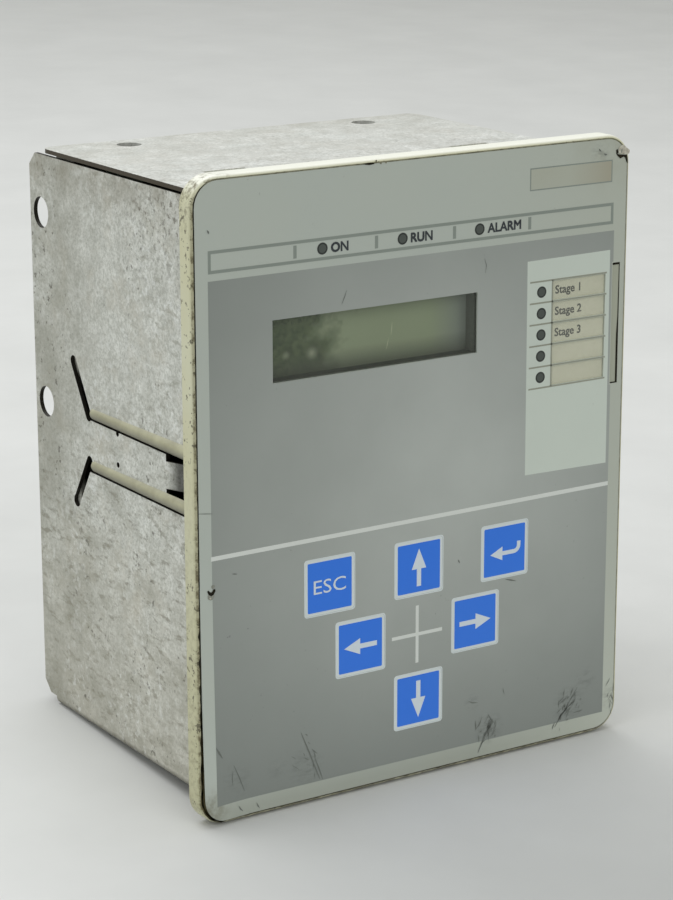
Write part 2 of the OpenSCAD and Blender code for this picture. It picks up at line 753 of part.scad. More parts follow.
core_w = 30;
core_d = 24;
core_t = 13;
core_limb = 7;
core_x = -24;
coil_h = 26;
coil_gap = 0.3;
supply_z = signal_z + signal_rows;

// Closed core with one middle limb
module transformer_core() color("#54585a") at_datum() difference() {
    box_at(core_x, io_y - core_d, supply_z, core_w, core_d, core_t);
    for (side = [-1, 1]) box_at(core_x + side * core_w / 4, io_y - core_d + core_limb / 2, supply_z,
        core_w / 2 - core_limb, core_d - core_limb, core_t + cut);
}

// Winding round the middle limb
module transformer_coil() color("#a8662e") at_datum() difference() {
    limb = core_limb + 2 * coil_gap;
    box_at(core_x, io_y - core_d + core_limb / 2 + coil_gap, supply_z,
        core_w - core_limb - 2 * coil_gap, core_d - core_limb - 2 * coil_gap, coil_h);
    box_at(core_x, io_y - core_d, supply_z, limb, core_d, core_t + 2 * coil_gap);
}

cap_d = 16;
cap_l = 24;
cap_crimp = 0.8;
cap_crimp_w = 1.4;
cap_crimp_lift = 4;
cap_crimp_y = io_y - cap_crimp_lift;
cap_x = 24;
cap_pitch = 20;
cap_spots = [for (s = [-0.5, 0.5]) [cap_x + s * cap_pitch, supply_z]];

// Electrolytic cans with a rolled groove near the board
module capacitors() color("#1f2c46") at_datum() for (c = cap_spots) difference() {
    rod(c, io_y - cap_l, cap_l, cap_d);
    difference() {
        rod(c, cap_crimp_y, cap_crimp_w, cap_d + cut);
        rod(c, cap_crimp_y - cut, cap_crimp_w + 2 * cut, cap_d - 2 * cap_crimp);
    }
}

// U-shaped outline open at the top, with rounded lower corners
module channel(w, low, top, r) {
    translate([-w / 2, low + r]) square([w, top - low - r]);
    translate([r - w / 2, low]) square([w - 2 * r, top - low]);
    for (s = [-1, 1]) translate([s * (w / 2 - r), low + r]) circle(r = r);
}

// Slot along a clip arm that turns away from the clip's middle
module clip_slot(straight_z, turn_z, end_z, end_w) {
    rise = end_z - turn_z;
    run = slot_end_y - slot_bend_y;
    translate([wall_front_y - cut, straight_z - slot_w / 2])
        square([slot_bend_y - wall_front_y + cut, slot_w]);
    translate([slot_bend_y, turn_z]) rotate(atan2(rise, run)) {
        length = norm([run, rise]);
        circle(d = slot_turn_w);
        translate([0, -slot_turn_w / 2]) square([length, slot_turn_w]);
        translate([length, 0]) circle(d = end_w);
    }
}

// Openings of a side wall, drawn in Y and Z
module wall_openings() {
    for (z = [side_hole_top, side_hole_low]) translate([side_hole_y, z]) circle(d = side_hole_d);
    translate([0, clip_z]) {
        clip_slot(slot_half, slot_half, slot_end_up, slot_turn_w);
        clip_slot(-slot_half, slot_turn_rise - slot_half, -slot_end_low, slot_end_w);
        for (z = [notch_up, -notch_low]) translate([notch_y, z]) circle(d = notch_d);
        translate([wall_front_y - cut, -slot_half]) square([tongue_y - wall_front_y + cut, 2 * slot_half]);
    }
}

// Wedge cut off a rear corner of the side walls
module ear_corner(z) translate([wall_d, z]) rotate(45)
    square(ear_chamfer * sqrt(2), center = true);

// Holes through the upper plate, the bottom and the rear panel's flanges
module plate_holes() for (s = [-1, 1]) translate([s * plate_hole_x, plate_hole_y]) circle(d = plate_hole_d);

module plate_openings() {
    plate_holes();
    for (s = [-1, 1])
        translate([s * hook_x - hook_slot_w / 2, hook_slot_y]) square([hook_slot_w, hook_slot_d]);
}

// End of the spring tongue, bent into the case
module tongue_tab() translate([0, 0, clip_z - tongue_tab_low])
    linear_extrude(tongue_tab_low + tongue_tab_up) polygon([
    [case_w / 2, tongue_y + weld],
    [case_w / 2, tongue_y],
    [case_w / 2 - tongue_bend, tongue_tip_y],
    [case_in - tongue_bend, tongue_tip_y],
    [case_in, tongue_y],
    [case_in, tongue_y + weld]
]);

module case_wrap() color("#b4b4aa") at_datum() {
    ear_low = floor_top + bend_r + bend_relief;
    difference() {
        along_y(wall_front_y, wall_d - wall_front_y) difference() {
            channel(case_w, case_bottom, wall_top, bend_r + sheet_t);
            channel(2 * case_in, floor_top, wall_top + cut, bend_r);
        }
        along_x(-case_w, 2 * case_w) {
            wall_openings();
            ear_corner(wall_top);
            ear_corner(ear_low);
        }
        translate([0, 0, case_bottom - cut]) linear_extrude(sheet_t + 2 * cut) plate_openings();
        box_at(0, plate_d, case_bottom, case_w + cut, wall_d, 2 * (ear_low - case_bottom));
    }
    for (sx = [0, 1]) mirror([sx, 0, 0]) tongue_tab();
}

module top_plate() color("#d7d9d9") at_datum()
    translate([0, 0, lid_low]) linear_extrude(sheet_t) difference() {
    union() {
        length = plate_d - wall_front_y;
        translate([-case_w / 2, wall_front_y]) square([case_w, length - plate_r]);
        translate([plate_r - case_w / 2, wall_front_y]) square([case_w - 2 * plate_r, length]);
        for (s = [-1, 1]) translate([s * (case_w / 2 - plate_r), plate_d - plate_r]) circle(r = plate_r);
    }
    plate_openings();
}

// Tray with its flanges towards the front
module rear_panel() color("#b9bab2") at_datum() difference() {
    w = 2 * (case_in - panel_gap);
    h = inner_h - 2 * panel_gap;
    translate([0, 0, inner_mid]) difference() {
        along_y(panel_back_y - flange_d, flange_d) rounded(w, h, bend_r + sheet_t);
        along_y(panel_back_y - flange_d - cut, flange_d - sheet_t + cut)
            rounded(w - 2 * sheet_t, h - 2 * sheet_t, bend_r);
    }
    along_y(rear_y - cut, sheet_t + 2 * cut) {
        translate([0, current_z])
            square([current_w + 2 * port_gap, current_h + 2 * port_gap], center = true);
        for (z = signal_rows_z) translate([0, z])
            square([signal_w + 2 * port_gap, signal_h + 2 * port_gap], center = true);
        for (p = post_spots) translate(p) circle(d = hole_d);
        translate([earth_x, earth_z]) circle(d = earth_d + 2 * screw_gap);
    }
    for (end = [-1, 1]) translate([0, 0, inner_mid + end * h / 2 - sheet_t - cut])
        linear_extrude(2 * (sheet_t + cut)) plate_holes();
}

// Barrier block: a base for the screws and a wall between each pair of poles
module current_terminals() color("#2a2c2e") at_datum() difference() {
    union() {
        box_at(0, io_back_y, current_z, current_w, current_face, current_h);
        for (i = [0:current_poles]) box_at((i - current_poles / 2) * current_pitch, io_back_y, current_z,
            barrier_t, current_d, current_h);
        box_at(0, io_back_y, current_z + (current_h - barrier_back) / 2, current_w, current_d, barrier_back);
    }
    for (c = current_spots) rod(c, io_back_y + current_face - screw_l, screw_l + cut, hole_d);
}

// Slotted screw with its square clamp
module current_terminal_screws() color("#c2c4c4") at_datum() for (c = current_spots) {
    face = io_back_y + current_face;
    head_y = face + clamp_t;
    clamp_w = current_pitch - barrier_t - 2 * clamp_gap;
    difference() {
        union() {
            rod(c, head_y, current_head_h, current_head_d);
            box_at(c[0], face, c[1], clamp_w, clamp_t + weld, clamp_w);
        }
        box_at(c[0], head_y + current_head_h / 2, c[1], current_head_d + cut, current_head_h, drive_w);
    }
    rod(c, head_y - screw_l, screw_l, screw_d);
}

// Two rows of clamp terminals: wire entries below, screws above
module signal_terminals() color("#2d6a4a") at_datum() for (c = signal_rows_z) difference() {
    face = io_back_y + signal_d;
    box_at(0, io_back_y, c, signal_w, signal_d, signal_h);
    for (x = signal_columns) {
        box_at(x, face - wire_depth, c - signal_h / 4,
            signal_pitch - 2 * wire_wall, wire_depth + cut, signal_h / 4);
        rod([x, c + signal_h / 4], face - signal_well, signal_well + cut, signal_screw_d + 2 * screw_gap);
    }
}

module signal_terminal_screws() color("#c2c4c4") at_datum() for (c = signal_rows_z, x = signal_columns) {
    top_y = io_back_y + signal_d - signal_screw_drop;
    difference() {
        rod([x, c + signal_h / 4], top_y - signal_screw_h, signal_screw_h, signal_screw_d);
        box_at(x, top_y - signal_slot_d, c + signal_h / 4,
            signal_screw_d + cut, signal_slot_d + cut, drive_w);
    }
}

earth_at = [earth_x, earth_z];
earth_washer_t = 1;
earth_nut_h = 4;
earth_head_t = 1.2;
earth_free_l = 6;
earth_groove_w = 0.6;
earth_groove_d = 0.3;

// Clinched stud with a relief groove between the nut's thread and the free end
module earth_stud() color("#c9b26a") at_datum() {
    held_l = sheet_t + earth_washer_t + earth_nut_h;
    rod(earth_at, rear_y - earth_head_t, earth_head_t, 1.6 * earth_d);
    rod(earth_at, rear_y - weld, held_l + weld, earth_d);
    rod(earth_at, rear_y + held_l - weld, earth_groove_w + 2 * weld, earth_d - 2 * earth_groove_d);
    rod(earth_at, rear_y + held_l + earth_groove_w, earth_free_l - earth_groove_w, earth_d);
}

module earth_washer() color("#c2c4c4") at_datum() difference() {
    rod(earth_at, panel_back_y, earth_washer_t, 2 * earth_d);
    rod(earth_at, panel_back_y - cut, earth_washer_t + 2 * cut, earth_d + 2 * screw_gap);
}

module earth_nut() color("#c9b26a") at_datum() difference() {
    along_y(panel_back_y + earth_washer_t, earth_nut_h) translate(earth_at) hexagon(1.6 * earth_d);
    rod(earth_at, panel_back_y, earth_nut_h + earth_washer_t + cut, earth_d + 2 * screw_gap);
}

front_frame();
overlay_film();
key_esc();
key_up();
key_enter();
key_left();
key_right();
key_down();
display_window();
label_window();
legend_card();
status_light_pipes();
alarm_light_pipes();
lcd_bezel();
lcd_glass();
lcd_backlight();
lcd_board();
lcd_spacers();
hmi_board();
hmi_screws();
tact_switches();
led_chips();
hmi_header();
ribbon_cable();
cpu_header();
cpu_board();
cpu_chips();
cpu_screws();
cpu_standoffs();
io_board();
io_standoffs();
current_transformers();
output_relays();
transformer_core();
transformer_coil();
capacitors();
case_wrap();
top_plate();
rear_panel();
rear_screws();
current_terminals();
current_terminal_screws();
signal_terminals();
signal_terminal_screws();
earth_stud();
earth_washer();
earth_nut();
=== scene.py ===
import json
import math
import random
import bmesh
import bpy
from mathutils import Matrix, Vector


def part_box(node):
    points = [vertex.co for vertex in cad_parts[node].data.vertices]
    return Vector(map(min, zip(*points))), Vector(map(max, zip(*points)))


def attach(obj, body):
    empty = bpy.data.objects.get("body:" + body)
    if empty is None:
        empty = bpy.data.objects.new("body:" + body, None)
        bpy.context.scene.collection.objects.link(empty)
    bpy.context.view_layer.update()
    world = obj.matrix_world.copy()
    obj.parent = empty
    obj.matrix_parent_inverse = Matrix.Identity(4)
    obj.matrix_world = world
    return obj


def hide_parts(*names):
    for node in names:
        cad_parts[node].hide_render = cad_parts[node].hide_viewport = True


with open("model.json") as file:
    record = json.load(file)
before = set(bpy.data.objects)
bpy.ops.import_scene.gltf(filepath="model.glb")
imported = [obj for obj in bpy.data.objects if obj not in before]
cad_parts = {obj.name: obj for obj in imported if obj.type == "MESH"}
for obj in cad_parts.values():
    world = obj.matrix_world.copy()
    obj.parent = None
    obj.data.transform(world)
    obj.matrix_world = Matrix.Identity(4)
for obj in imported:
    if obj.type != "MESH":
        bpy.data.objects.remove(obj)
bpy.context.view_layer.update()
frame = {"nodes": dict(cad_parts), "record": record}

scene = bpy.context.scene
scene.view_settings.view_transform = "Standard"  # plain colours, as a product photograph has them

# Places on the front are millimetres right of and above the middle of the printed film
filmLow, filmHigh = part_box("overlay_film")
filmMiddle = (filmLow + filmHigh) / 2
rimBack = next(m["pos_m"][1] for m in frame["record"]["mounts"] if m["name"] == "panel_seat")
print("frame loaded")


def linear(hexCode):
    parts = [int(hexCode[i:i + 2], 16) / 255 for i in (1, 3, 5)]
    return tuple(c / 12.92 if c <= 0.04045 else ((c + 0.055) / 1.055) ** 2.4 for c in parts) + (1.0,)


def perMm(size):  # texture scale for a feature of this many millimetres
    return 1000.0 / size


def onFilm(x, z, proud=0.0):
    return Vector((filmMiddle.x + x / 1000, filmLow.y - proud / 1000, filmMiddle.z + z / 1000))


def addNode(tree, kind, sets=None, links=None):
    node = tree.nodes.new("ShaderNode" + kind)
    for key, value in (sets or {}).items():
        if isinstance(key, int) or key in node.inputs:
            node.inputs[key].default_value = value
        else:
            setattr(node, key, value)
    for key, source in (links or {}).items():
        tree.links.new(source, node.inputs[key])
    return node


def addObject(name, data):
    made = bpy.data.objects.new(name, data)
    scene.collection.objects.link(made)
    return made


def meshFrom(name, bm):
    mesh = bpy.data.meshes.new(name)
    bm.to_mesh(mesh)
    bm.free()
    return mesh


def startMaterial(name, roughness, metallic=0.0, ior=1.5, specular=0.5):
    material = bpy.data.materials.new(name)
    material.use_nodes = True
    tree = material.node_tree
    shader = tree.nodes["Principled BSDF"]
    shader.inputs["Roughness"].default_value = roughness
    shader.inputs["Metallic"].default_value = metallic
    shader.inputs["Specular IOR Level"].default_value = specular
    if metallic == 0.0:
        shader.inputs["IOR"].default_value = ior
    addNode(tree, "TexCoord")
    return material, tree


# The part's own coordinates, in metres
def ownPlace(tree):
    return tree.nodes["Texture Coordinate"].outputs["Object"]


# Gives the finished colour to the shader
def paint(tree, colour):
    tree.links.new(colour, tree.nodes["Principled BSDF"].inputs["Base Color"])


# A patchy mask, 0 to 1, with patches of this many millimetres
def patches(tree, size, low, high, detail=4.0, rough=0.6, place=None):
    noise = addNode(tree, "TexNoise", {"Scale": perMm(size), "Detail": detail, "Roughness": rough},
                    {"Vector": place or ownPlace(tree)})
    cut = addNode(tree, "MapRange", {"From Min": low, "From Max": high}, {"Value": noise.outputs["Fac"]})
    return cut.outputs[0]


# Lays one colour over another through a mask; a colour is a hex value or a node's output
def layOver(tree, mask, under, over, blend="MIX"):
    mix = addNode(tree, "Mix", {"data_type": "RGBA", "blend_type": blend}, {0: mask})
    for index, colour in ((6, under), (7, over)):
        if isinstance(colour, str):
            mix.inputs[index].default_value = linear(colour)
        else:
            tree.links.new(colour, mix.inputs[index])
    return mix.outputs[2]


# Product of masks and plain numbers
def both(tree, first, *others):
    result = first
    for other in others:
        step = addNode(tree, "Math", {"operation": "MULTIPLY"}, {0: result})
        if isinstance(other, float):
            step.inputs[1].default_value = other
        else:
            tree.links.new(other, step.inputs[1])
        result = step.outputs[0]
    return result


# Lays colours over the first in turn; each comes with the masks that it shows through
def layered(tree, colour, *layers):
    for over, *masks in layers:
        colour = layOver(tree, both(tree, *masks), colour, over)
    return colour


# 0 at one place along an axis, 1 at another; places in metres in the part's own frame
def along(tree, axis, start, end):
    split = addNode(tree, "SeparateXYZ", None, {0: ownPlace(tree)})
    cut = addNode(tree, "MapRange", {"From Min": start, "From Max": end}, {"Value": split.outputs[axis]})
    return cut.outputs[0]


# Height of this many millimetres, drawn as a bump
def relief(tree, height, depthMm, strength=1.0):
    bump = addNode(tree, "Bump", {"Strength": strength, "Distance": depthMm / 1000}, {"Height": height})
    tree.links.new(bump.outputs["Normal"], tree.nodes["Principled BSDF"].inputs["Normal"])


# The way each face looks, by axis
def facing(tree):
    return addNode(tree, "SeparateXYZ", None, {0: addNode(tree, "NewGeometry").outputs["Normal"]}).outputs


# Painted shade: 1 on the long cut edges of a level sheet, 0 on its faces and on the walls of its holes
def longEdgeShade(tree):
    steep = addNode(tree, "Math", {"operation": "ABSOLUTE"}, {0: facing(tree)["Z"]})
    cut = addNode(tree, "MapRange", {"From Min": 0.8, "From Max": 0.4}, {"Value": steep.outputs[0]})
    spot = addNode(tree, "SeparateXYZ", None, {0: ownPlace(tree)})
    reach = addNode(tree, "Math", {"operation": "ABSOLUTE"}, {0: spot.outputs["X"]})
    outer = addNode(tree, "MapRange", {"From Min": 0.056, "From Max": 0.058}, {"Value": reach.outputs[0]})
    return both(tree, cut.outputs[0], outer.outputs[0])


# Blooms of old rust on a plain face
def rustBlooms(tree):
    return patches(tree, 30, 0.62, 0.8)


# Painted shade: 1 on the case's shut-in faces and cut edges and deep on its bent-in tabs, 0 on faces in the
# open
def insideShade(tree):
    low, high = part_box("case_wrap")
    spot = addNode(tree, "SeparateXYZ", None, {0: ownPlace(tree)})
    face = facing(tree)
    side = addNode(tree, "Math", {"operation": "SIGN"}, {0: spot.outputs["X"]})
    outward = addNode(tree, "Math", {"operation": "MULTIPLY"}, {0: side.outputs[0], 1: face["X"]})
    turned = addNode(tree, "MapRange", {"From Min": 0.6, "From Max": 0.2}, {"Value": outward.outputs[0]})
    reach = addNode(tree, "Math", {"operation": "ABSOLUTE"}, {0: spot.outputs["X"]})
    depths = {"From Min": high.x - 0.0001, "From Max": high.x - 0.0016, "To Max": 0.82}
    deep = addNode(tree, "MapRange", depths, {"Value": reach.outputs[0]})
    most = addNode(tree, "Math", {"operation": "MAXIMUM"}, {0: turned.outputs[0], 1: deep.outputs[0]})
    inner = addNode(tree, "MapRange", {"From Min": -0.6, "From Max": -0.9}, {"Value": outward.outputs[0]})
    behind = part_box("rear_panel")[1].y
    lit = both(tree, inner.outputs[0], along(tree, "Y", behind - 0.0005, behind + 0.0005))
    shut = addNode(tree, "Math", {"operation": "SUBTRACT", 0: 1.0}, {1: lit})
    return both(tree, most.outputs[0], shut.outputs[0], along(tree, "Z", low.z + 0.0015, low.z + 0.003),
                along(tree, "Y", high.y - 0.0003, high.y - 0.001))


# Galvanised steel, hot dipped and rolled: blurred grey shine, cloudy zinc, dull white-brown oxide, dark
# pinholes where the zinc has gone, a painted shadow along the foot, and a dark last layer: painted shade on
# the case and top plate, rust blooms on the rear panel
def galvanisedSheet(name, pale, shade, oxide, worn, grain, edges, shadeAndRustColour, rolled=0.0):
    material, tree = startMaterial(name, 0.5, 0.35, specular=0.35)
    cloud = patches(tree, 9, 0.3, 0.7, 9.0, 0.7)
    flake = patches(tree, 1.5, 0.42, 0.6, 4.0, 0.7)
    fleck = patches(tree, 0.7, 0.46, 0.62, 3.0)  # zinc crystals of 0.3 mm, drawn coarser to show
    colour = layered(tree, layOver(tree, cloud, shade, pale), (shade, flake, grain))
    colour = layOver(tree, both(tree, fleck, grain, 0.8), colour, shade, "MULTIPLY")
    if rolled:
        drawn = addNode(tree, "Mapping", {"Scale": (0.1, 1.0, 1.0)}, {"Vector": ownPlace(tree)})
        streaks = patches(tree, 2.4, 0.42, 0.62, 5.0, place=drawn.outputs["Vector"])
        colour = layered(tree, colour, (shade, streaks, rolled))
    tilt = addNode(tree, "Mapping", {"Rotation": (0.6, 0.0, 0.0), "Scale": (1.0, 0.35, 1.0)},
                   {"Vector": ownPlace(tree)})
    creases = patches(tree, 1.8, 0.55, 0.65, 6.0, 0.6, place=tilt.outputs["Vector"])
    crumple = patches(tree, 5.5, 0.47, 0.66, 6.0, 0.65, place=tilt.outputs["Vector"])
    bloom = patches(tree, 2.4, 0.54, 0.62, 5.0, 0.65)
    pits = patches(tree, 1.9, 0.61, 0.67, 4.0, 0.6)
    spots = patches(tree, 1.8, 0.56, 0.61, 3.0)
    lower, upper = along(tree, "Z", 0.12, 0.06), along(tree, "Z", 0.13, 0.16)
    foot, brow = along(tree, "Z", 0.075, 0.0), along(tree, "Z", 0.155, 0.168)
    front, rear = along(tree, "Y", 0.015, -0.035), along(tree, "Y", -0.005, 0.05)
    # painted shadow along the sheet's foot, where it meets the floor
    footShadow = along(tree, "Z", caseFoot + 0.0026, caseFoot + 0.0008)
    colour = layered(tree, colour, ("#7f7d6b", creases, patches(tree, 45, 0.42, 0.6), worn, 0.5),
                     ("#747163", creases, lower, worn, 0.85),
                     (oxide, patches(tree, 19, 0.5, 0.72, 9.0, 0.72), worn), (oxide, foot, worn, 0.7),
                     ("#939181", crumple, lower, worn, 0.6),
                     ("#eff2f1", bloom, patches(tree, 22, 0.4, 0.6), worn, 0.7), ("#4f4a3c", footShadow, worn),
                     ("#8c8b7d", rear, patches(tree, 26, 0.3, 0.6, 6.0), worn, 0.85),
                     ("#5d5a50", pits, patches(tree, 30, 0.46, 0.6), worn),
                     ("#66635a", spots, upper, front, worn),
                     ("#877f6c", brow, patches(tree, 8, 0.34, 0.6, 5.0), worn, 0.6),
                     # last layer: painted shade on the case's inner faces and the top plate's long edges,
                     # rust blooms on the rear panel
                     (shadeAndRustColour, edges(tree)))
    paint(tree, colour)
    relief(tree, flake, 0.03, 0.45)
    return material


# ABS, injection moulded, fine spark texture: soft cream gloss, yellowed, with a painted highlight on the
# faces that look up, greyed on the clip arms with painted shade along their undersides, painted shade on its
# lower land, its front land dull and specked with dirt
def creamAbs(name):
    material, tree = startMaterial(name, 0.42, ior=1.53)
    face = facing(tree)
    # painted highlight on the faces that look up
    topHighlight = addNode(tree, "MapRange", {"From Min": 0.4, "From Max": 0.9}, {"Value": face["Z"]}).outputs[0]
    land = addNode(tree, "MapRange", {"From Min": -0.45, "From Max": -0.7}, {"Value": face["Y"]}).outputs[0]
    corner = addNode(tree, "VectorMath", {"operation": "DISTANCE", 1: onFilm(-70.0, 85.0)},
                     {0: ownPlace(tree)})
    near = addNode(tree, "MapRange", {"From Min": 0.014, "From Max": 0.003},
                   {"Value": corner.outputs["Value"]}).outputs[0]
    arms = along(tree, "Y", rimBack, rimBack + 0.003)
    handled = layOver(tree, patches(tree, 6, 0.3, 0.7, 6.0, 0.65), "#b4b397", "#95937a")
    # painted shade along the clip arms' undersides
    undersideShade = [("#3f3b2c", along(tree, "Z", foot + 0.0028, foot),
                   along(tree, "Z", foot - 0.0016, foot - 0.001), arms, 0.9) for foot in clipArmFeet]
    left = along(tree, "X", filmLow.x + 0.001, filmLow.x - 0.0004)
    low = along(tree, "Z", filmMiddle.z + 0.03, filmLow.z)
    # painted shade on the frame's lower land below the film's foot, broken into patches
    lowEdgeShade = along(tree, "Z", filmLow.z + 0.0025, filmLow.z - 0.0005)
    grime = patches(tree, 2.2, 0.47, 0.6, 6.0, 0.7)
    specks = both(tree, patches(tree, 1.7, 0.62, 0.67, 2.0), patches(tree, 22, 0.36, 0.5))
    colour = layOver(tree, patches(tree, 40, 0.35, 0.7), "#d3d4ba", "#cfcda9")
    colour = layered(tree, colour, ("#edefe8", topHighlight, 0.85), (handled, arms, 0.85), *undersideShade,
                     ("#bab996", left, low, 0.9), ("#a09d82", land, left, 0.6),
                     ("#5f573c", grime, land, left, 0.85), ("#756c4c", grime, left, low, 0.42),
                     ("#6e674e", near, grime, 0.9),
                     ("#5a5545", patches(tree, 3.5, 0.3, 0.56, 6.0, 0.7), lowEdgeShade, 0.75),
                     ("#4b4531", specks, left, 0.8))
    paint(tree, colour)
    spark = patches(tree, 0.5, 0.3, 0.7, 2.0)  # real spark grain is 0.1 mm, drawn coarser to show
    relief(tree, spark, 0.008, 0.4)
    return material


# 1 at a place on the film, 0 this far from it, in millimetres
def closeTo(tree, x, z, far, near=0.0):
    flat = addNode(tree, "Mapping", {"Scale": (1.0, 0.0, 1.0)}, {"Vector": ownPlace(tree)})
    spot = onFilm(x, z)
    spot.y = 0.0
    away = addNode(tree, "VectorMath", {"operation": "DISTANCE", 1: spot}, {0: flat.outputs["Vector"]})
    cut = addNode(tree, "MapRange", {"From Min": far / 1000, "From Max": near / 1000},
                  {"Value": away.outputs["Value"]})
    return cut.outputs[0]


# Layers for dark rubbed patches near the film's foot, broken up along the way they were rubbed
def scuffs(tree):
    lean = addNode(tree, "Mapping", {"Rotation": (0.0, 1.0, 0.0), "Scale": (0.45, 1.0, 1.0)},
                   {"Vector": ownPlace(tree)})
    broken = patches(tree, 1.5, 0.44, 0.62, 5.0, 0.7, place=lean.outputs["Vector"])
    return [("#4d524e", closeTo(tree, x, z, far), broken, share) for x, z, far, share in scuffSpots]


# The film's embossed front, under a finished colour
def emboss(tree, colour):
    paint(tree, colour)
    matt = patches(tree, 0.6, 0.3, 0.7, 2.0)  # real emboss is 0.05 mm, drawn coarser to show
    relief(tree, matt, 0.006, 0.35)


# Polyester film, screen printed on its back and embossed matt: even colour, satin front, faint handling marks
def printedFilm(name, ink, rubbed, handling=0.35, roughness=0.38, soiled=0.0, stained=False):
    material, tree = startMaterial(name, roughness, ior=1.58, specular=0.4)
    layers = [(rubbed, patches(tree, 55, 0.4, 0.72, 5.0, 0.55), handling)]
    if stained:
        layers += [("#b1ae9c", along(tree, "X", filmMiddle.x + 0.05, filmMiddle.x + 0.064))]
    if soiled:
        layers += [("#94978a", along(tree, "Z", filmLow.z + 0.012, filmLow.z + 0.002), soiled),
                   ("#c0c6bb", along(tree, "X", filmMiddle.x + 0.02, filmHigh.x)),
                   ("#a5a38f", closeTo(tree, 62.0, 84.0, 15.0, 3.0), patches(tree, 6, 0.25, 0.6), 0.3),
                   ("#6d684f", closeTo(tree, -67.0, -82.5, 6.5, 1.0),
                    patches(tree, 2.5, 0.38, 0.6, 5.0), 0.6)]
        layers += scuffs(tree)
    layers += [("#5c5d55", patches(tree, 1.5, 0.7, 0.76, 2.0), patches(tree, 30, 0.5, 0.7), 0.35)]
    emboss(tree, layered(tree, ink, *layers))
    return material


# The same film over the large grey field, with a painted sheen palest near its middle, and darker along its
# foot
def sheenedFilm(name, ink, deep):
    material, tree = startMaterial(name, 0.36, ior=1.58, specular=0.4)
    # painted sheen: palest near the field's middle, darker away from it
    squash = Vector((9.1, 0.0, 9.5))
    squashed = addNode(tree, "Mapping", {"Scale": squash}, {"Vector": ownPlace(tree)})
    middle = Vector((squash.x * 0.01, 0.0, squash.z * (filmMiddle.z + 0.002)))
    away = addNode(tree, "VectorMath", {"operation": "DISTANCE", 1: middle}, {0: squashed.outputs["Vector"]})
    sheenFade = addNode(tree, "MapRange", {"From Min": 0.12, "From Max": 1.2}, {"Value": away.outputs["Value"]})
    layers = [(deep, sheenFade.outputs[0]), (deep, along(tree, "Z", filmMiddle.z - 0.05, filmLow.z), 0.5),
              (deep, patches(tree, 50, 0.38, 0.7, 5.0, 0.55), 0.2)] + scuffs(tree)
    layers += [("#4f524d", patches(tree, 1.4, 0.71, 0.76, 2.0), patches(tree, 32, 0.52, 0.7), 0.4)]
    emboss(tree, layered(tree, ink, *layers))
    return material


# Polycarbonate sheet, polished: clear, with a sharp weak reflection
def clearSheet(name, cover, roughness=0.06):
    material, tree = startMaterial(name, roughness, ior=1.585)
    haze = patches(tree, 18, 0.35, 0.75)
    paint(tree, layOver(tree, haze, "#dfe4da", "#c9cfc4"))
    tree.nodes["Principled BSDF"].inputs["Alpha"].default_value = cover
    return material


# Display glass with its polariser: olive, mottled dark green where the polariser has aged, painted shade
# along its foot, and two air bubbles, each drawn as a painted highlight beside a painted shadow
def displayGlass(name, middle):
    material, tree = startMaterial(name, 0.3, ior=1.52, specular=0.3)
    mottle = patches(tree, 5, 0.36, 0.64, 7.0, 0.7)
    wander = addNode(tree, "Math", {"operation": "MULTIPLY_ADD", 1: 0.012}, {0: patches(tree, 6, 0.3, 0.7)})
    tree.links.new(addNode(tree, "SeparateXYZ", None, {0: ownPlace(tree)}).outputs["X"], wander.inputs[2])
    side = addNode(tree, "MapRange", {"From Min": middle.x - 0.01, "From Max": middle.x},
                   {"Value": wander.outputs[0]})
    aged = layOver(tree, mottle, "#3f5031", "#596846")
    aged = layOver(tree, both(tree, patches(tree, 1.5, 0.5, 0.62, 5.0), 0.6), aged, "#29371f")
    # a paler side, a grey band at the right end, and painted shade along the foot
    layers = [("#93a081", side.outputs[0]),
              ("#7d8586", along(tree, "X", middle.x + 0.021, middle.x + 0.031), 0.7),
              ("#454b40", along(tree, "Z", middle.z - 0.003, middle.z - 0.008), 0.75)]
    for x, z, size in bubbles:
        # each bubble: a painted shadow, then a painted highlight offset from it
        for shift, wide, tone, share in ((0.0009, 1.8, "#2c3a22", 0.9), (0.0, 1.15, "#c6ceb2", 0.95)):
            spot = middle + Vector((x + shift, 0.0, z + shift))
            away = addNode(tree, "VectorMath", {"operation": "DISTANCE", 1: spot}, {0: ownPlace(tree)})
            dot = addNode(tree, "MapRange", {"From Min": size * wide, "From Max": 0.0},
                          {"Value": away.outputs["Value"]}).outputs[0]
            layers.append((tone, dot, dot, share))
    paint(tree, layered(tree, aged, *layers))
    return material


# Injection-moulded engineering plastic: even colour, fine grain, soft gloss
def mouldedPlastic(name, hexCode, dusty, roughness=0.45, grainMm=0.6):
    material, tree = startMaterial(name, roughness, ior=1.53)
    dust = patches(tree, 16, 0.42, 0.75, 5.0)
    paint(tree, layOver(tree, both(tree, dust, 0.35), hexCode, dusty))
    grain = patches(tree, grainMm, 0.3, 0.7, 2.0)
    relief(tree, grain, 0.01, 0.35)
    return material


# Foam gasket, die cut: dull grey-green skin, with painted shade making the faces that look up nearly black
def cutFoam(name):
    material, tree = startMaterial(name, 0.75, specular=0.25)
    face = facing(tree)
    upFacingShade = addNode(tree, "MapRange", {"From Min": 0.3, "From Max": 0.8}, {"Value": face["Z"]})
    cells = patches(tree, 1.1, 0.35, 0.65)
    paint(tree, layOver(tree, upFacingShade.outputs[0], layOver(tree, cells, "#545b53", "#5f655d"),
                        layOver(tree, cells, "#1d231a", "#2b3127")))
    return material


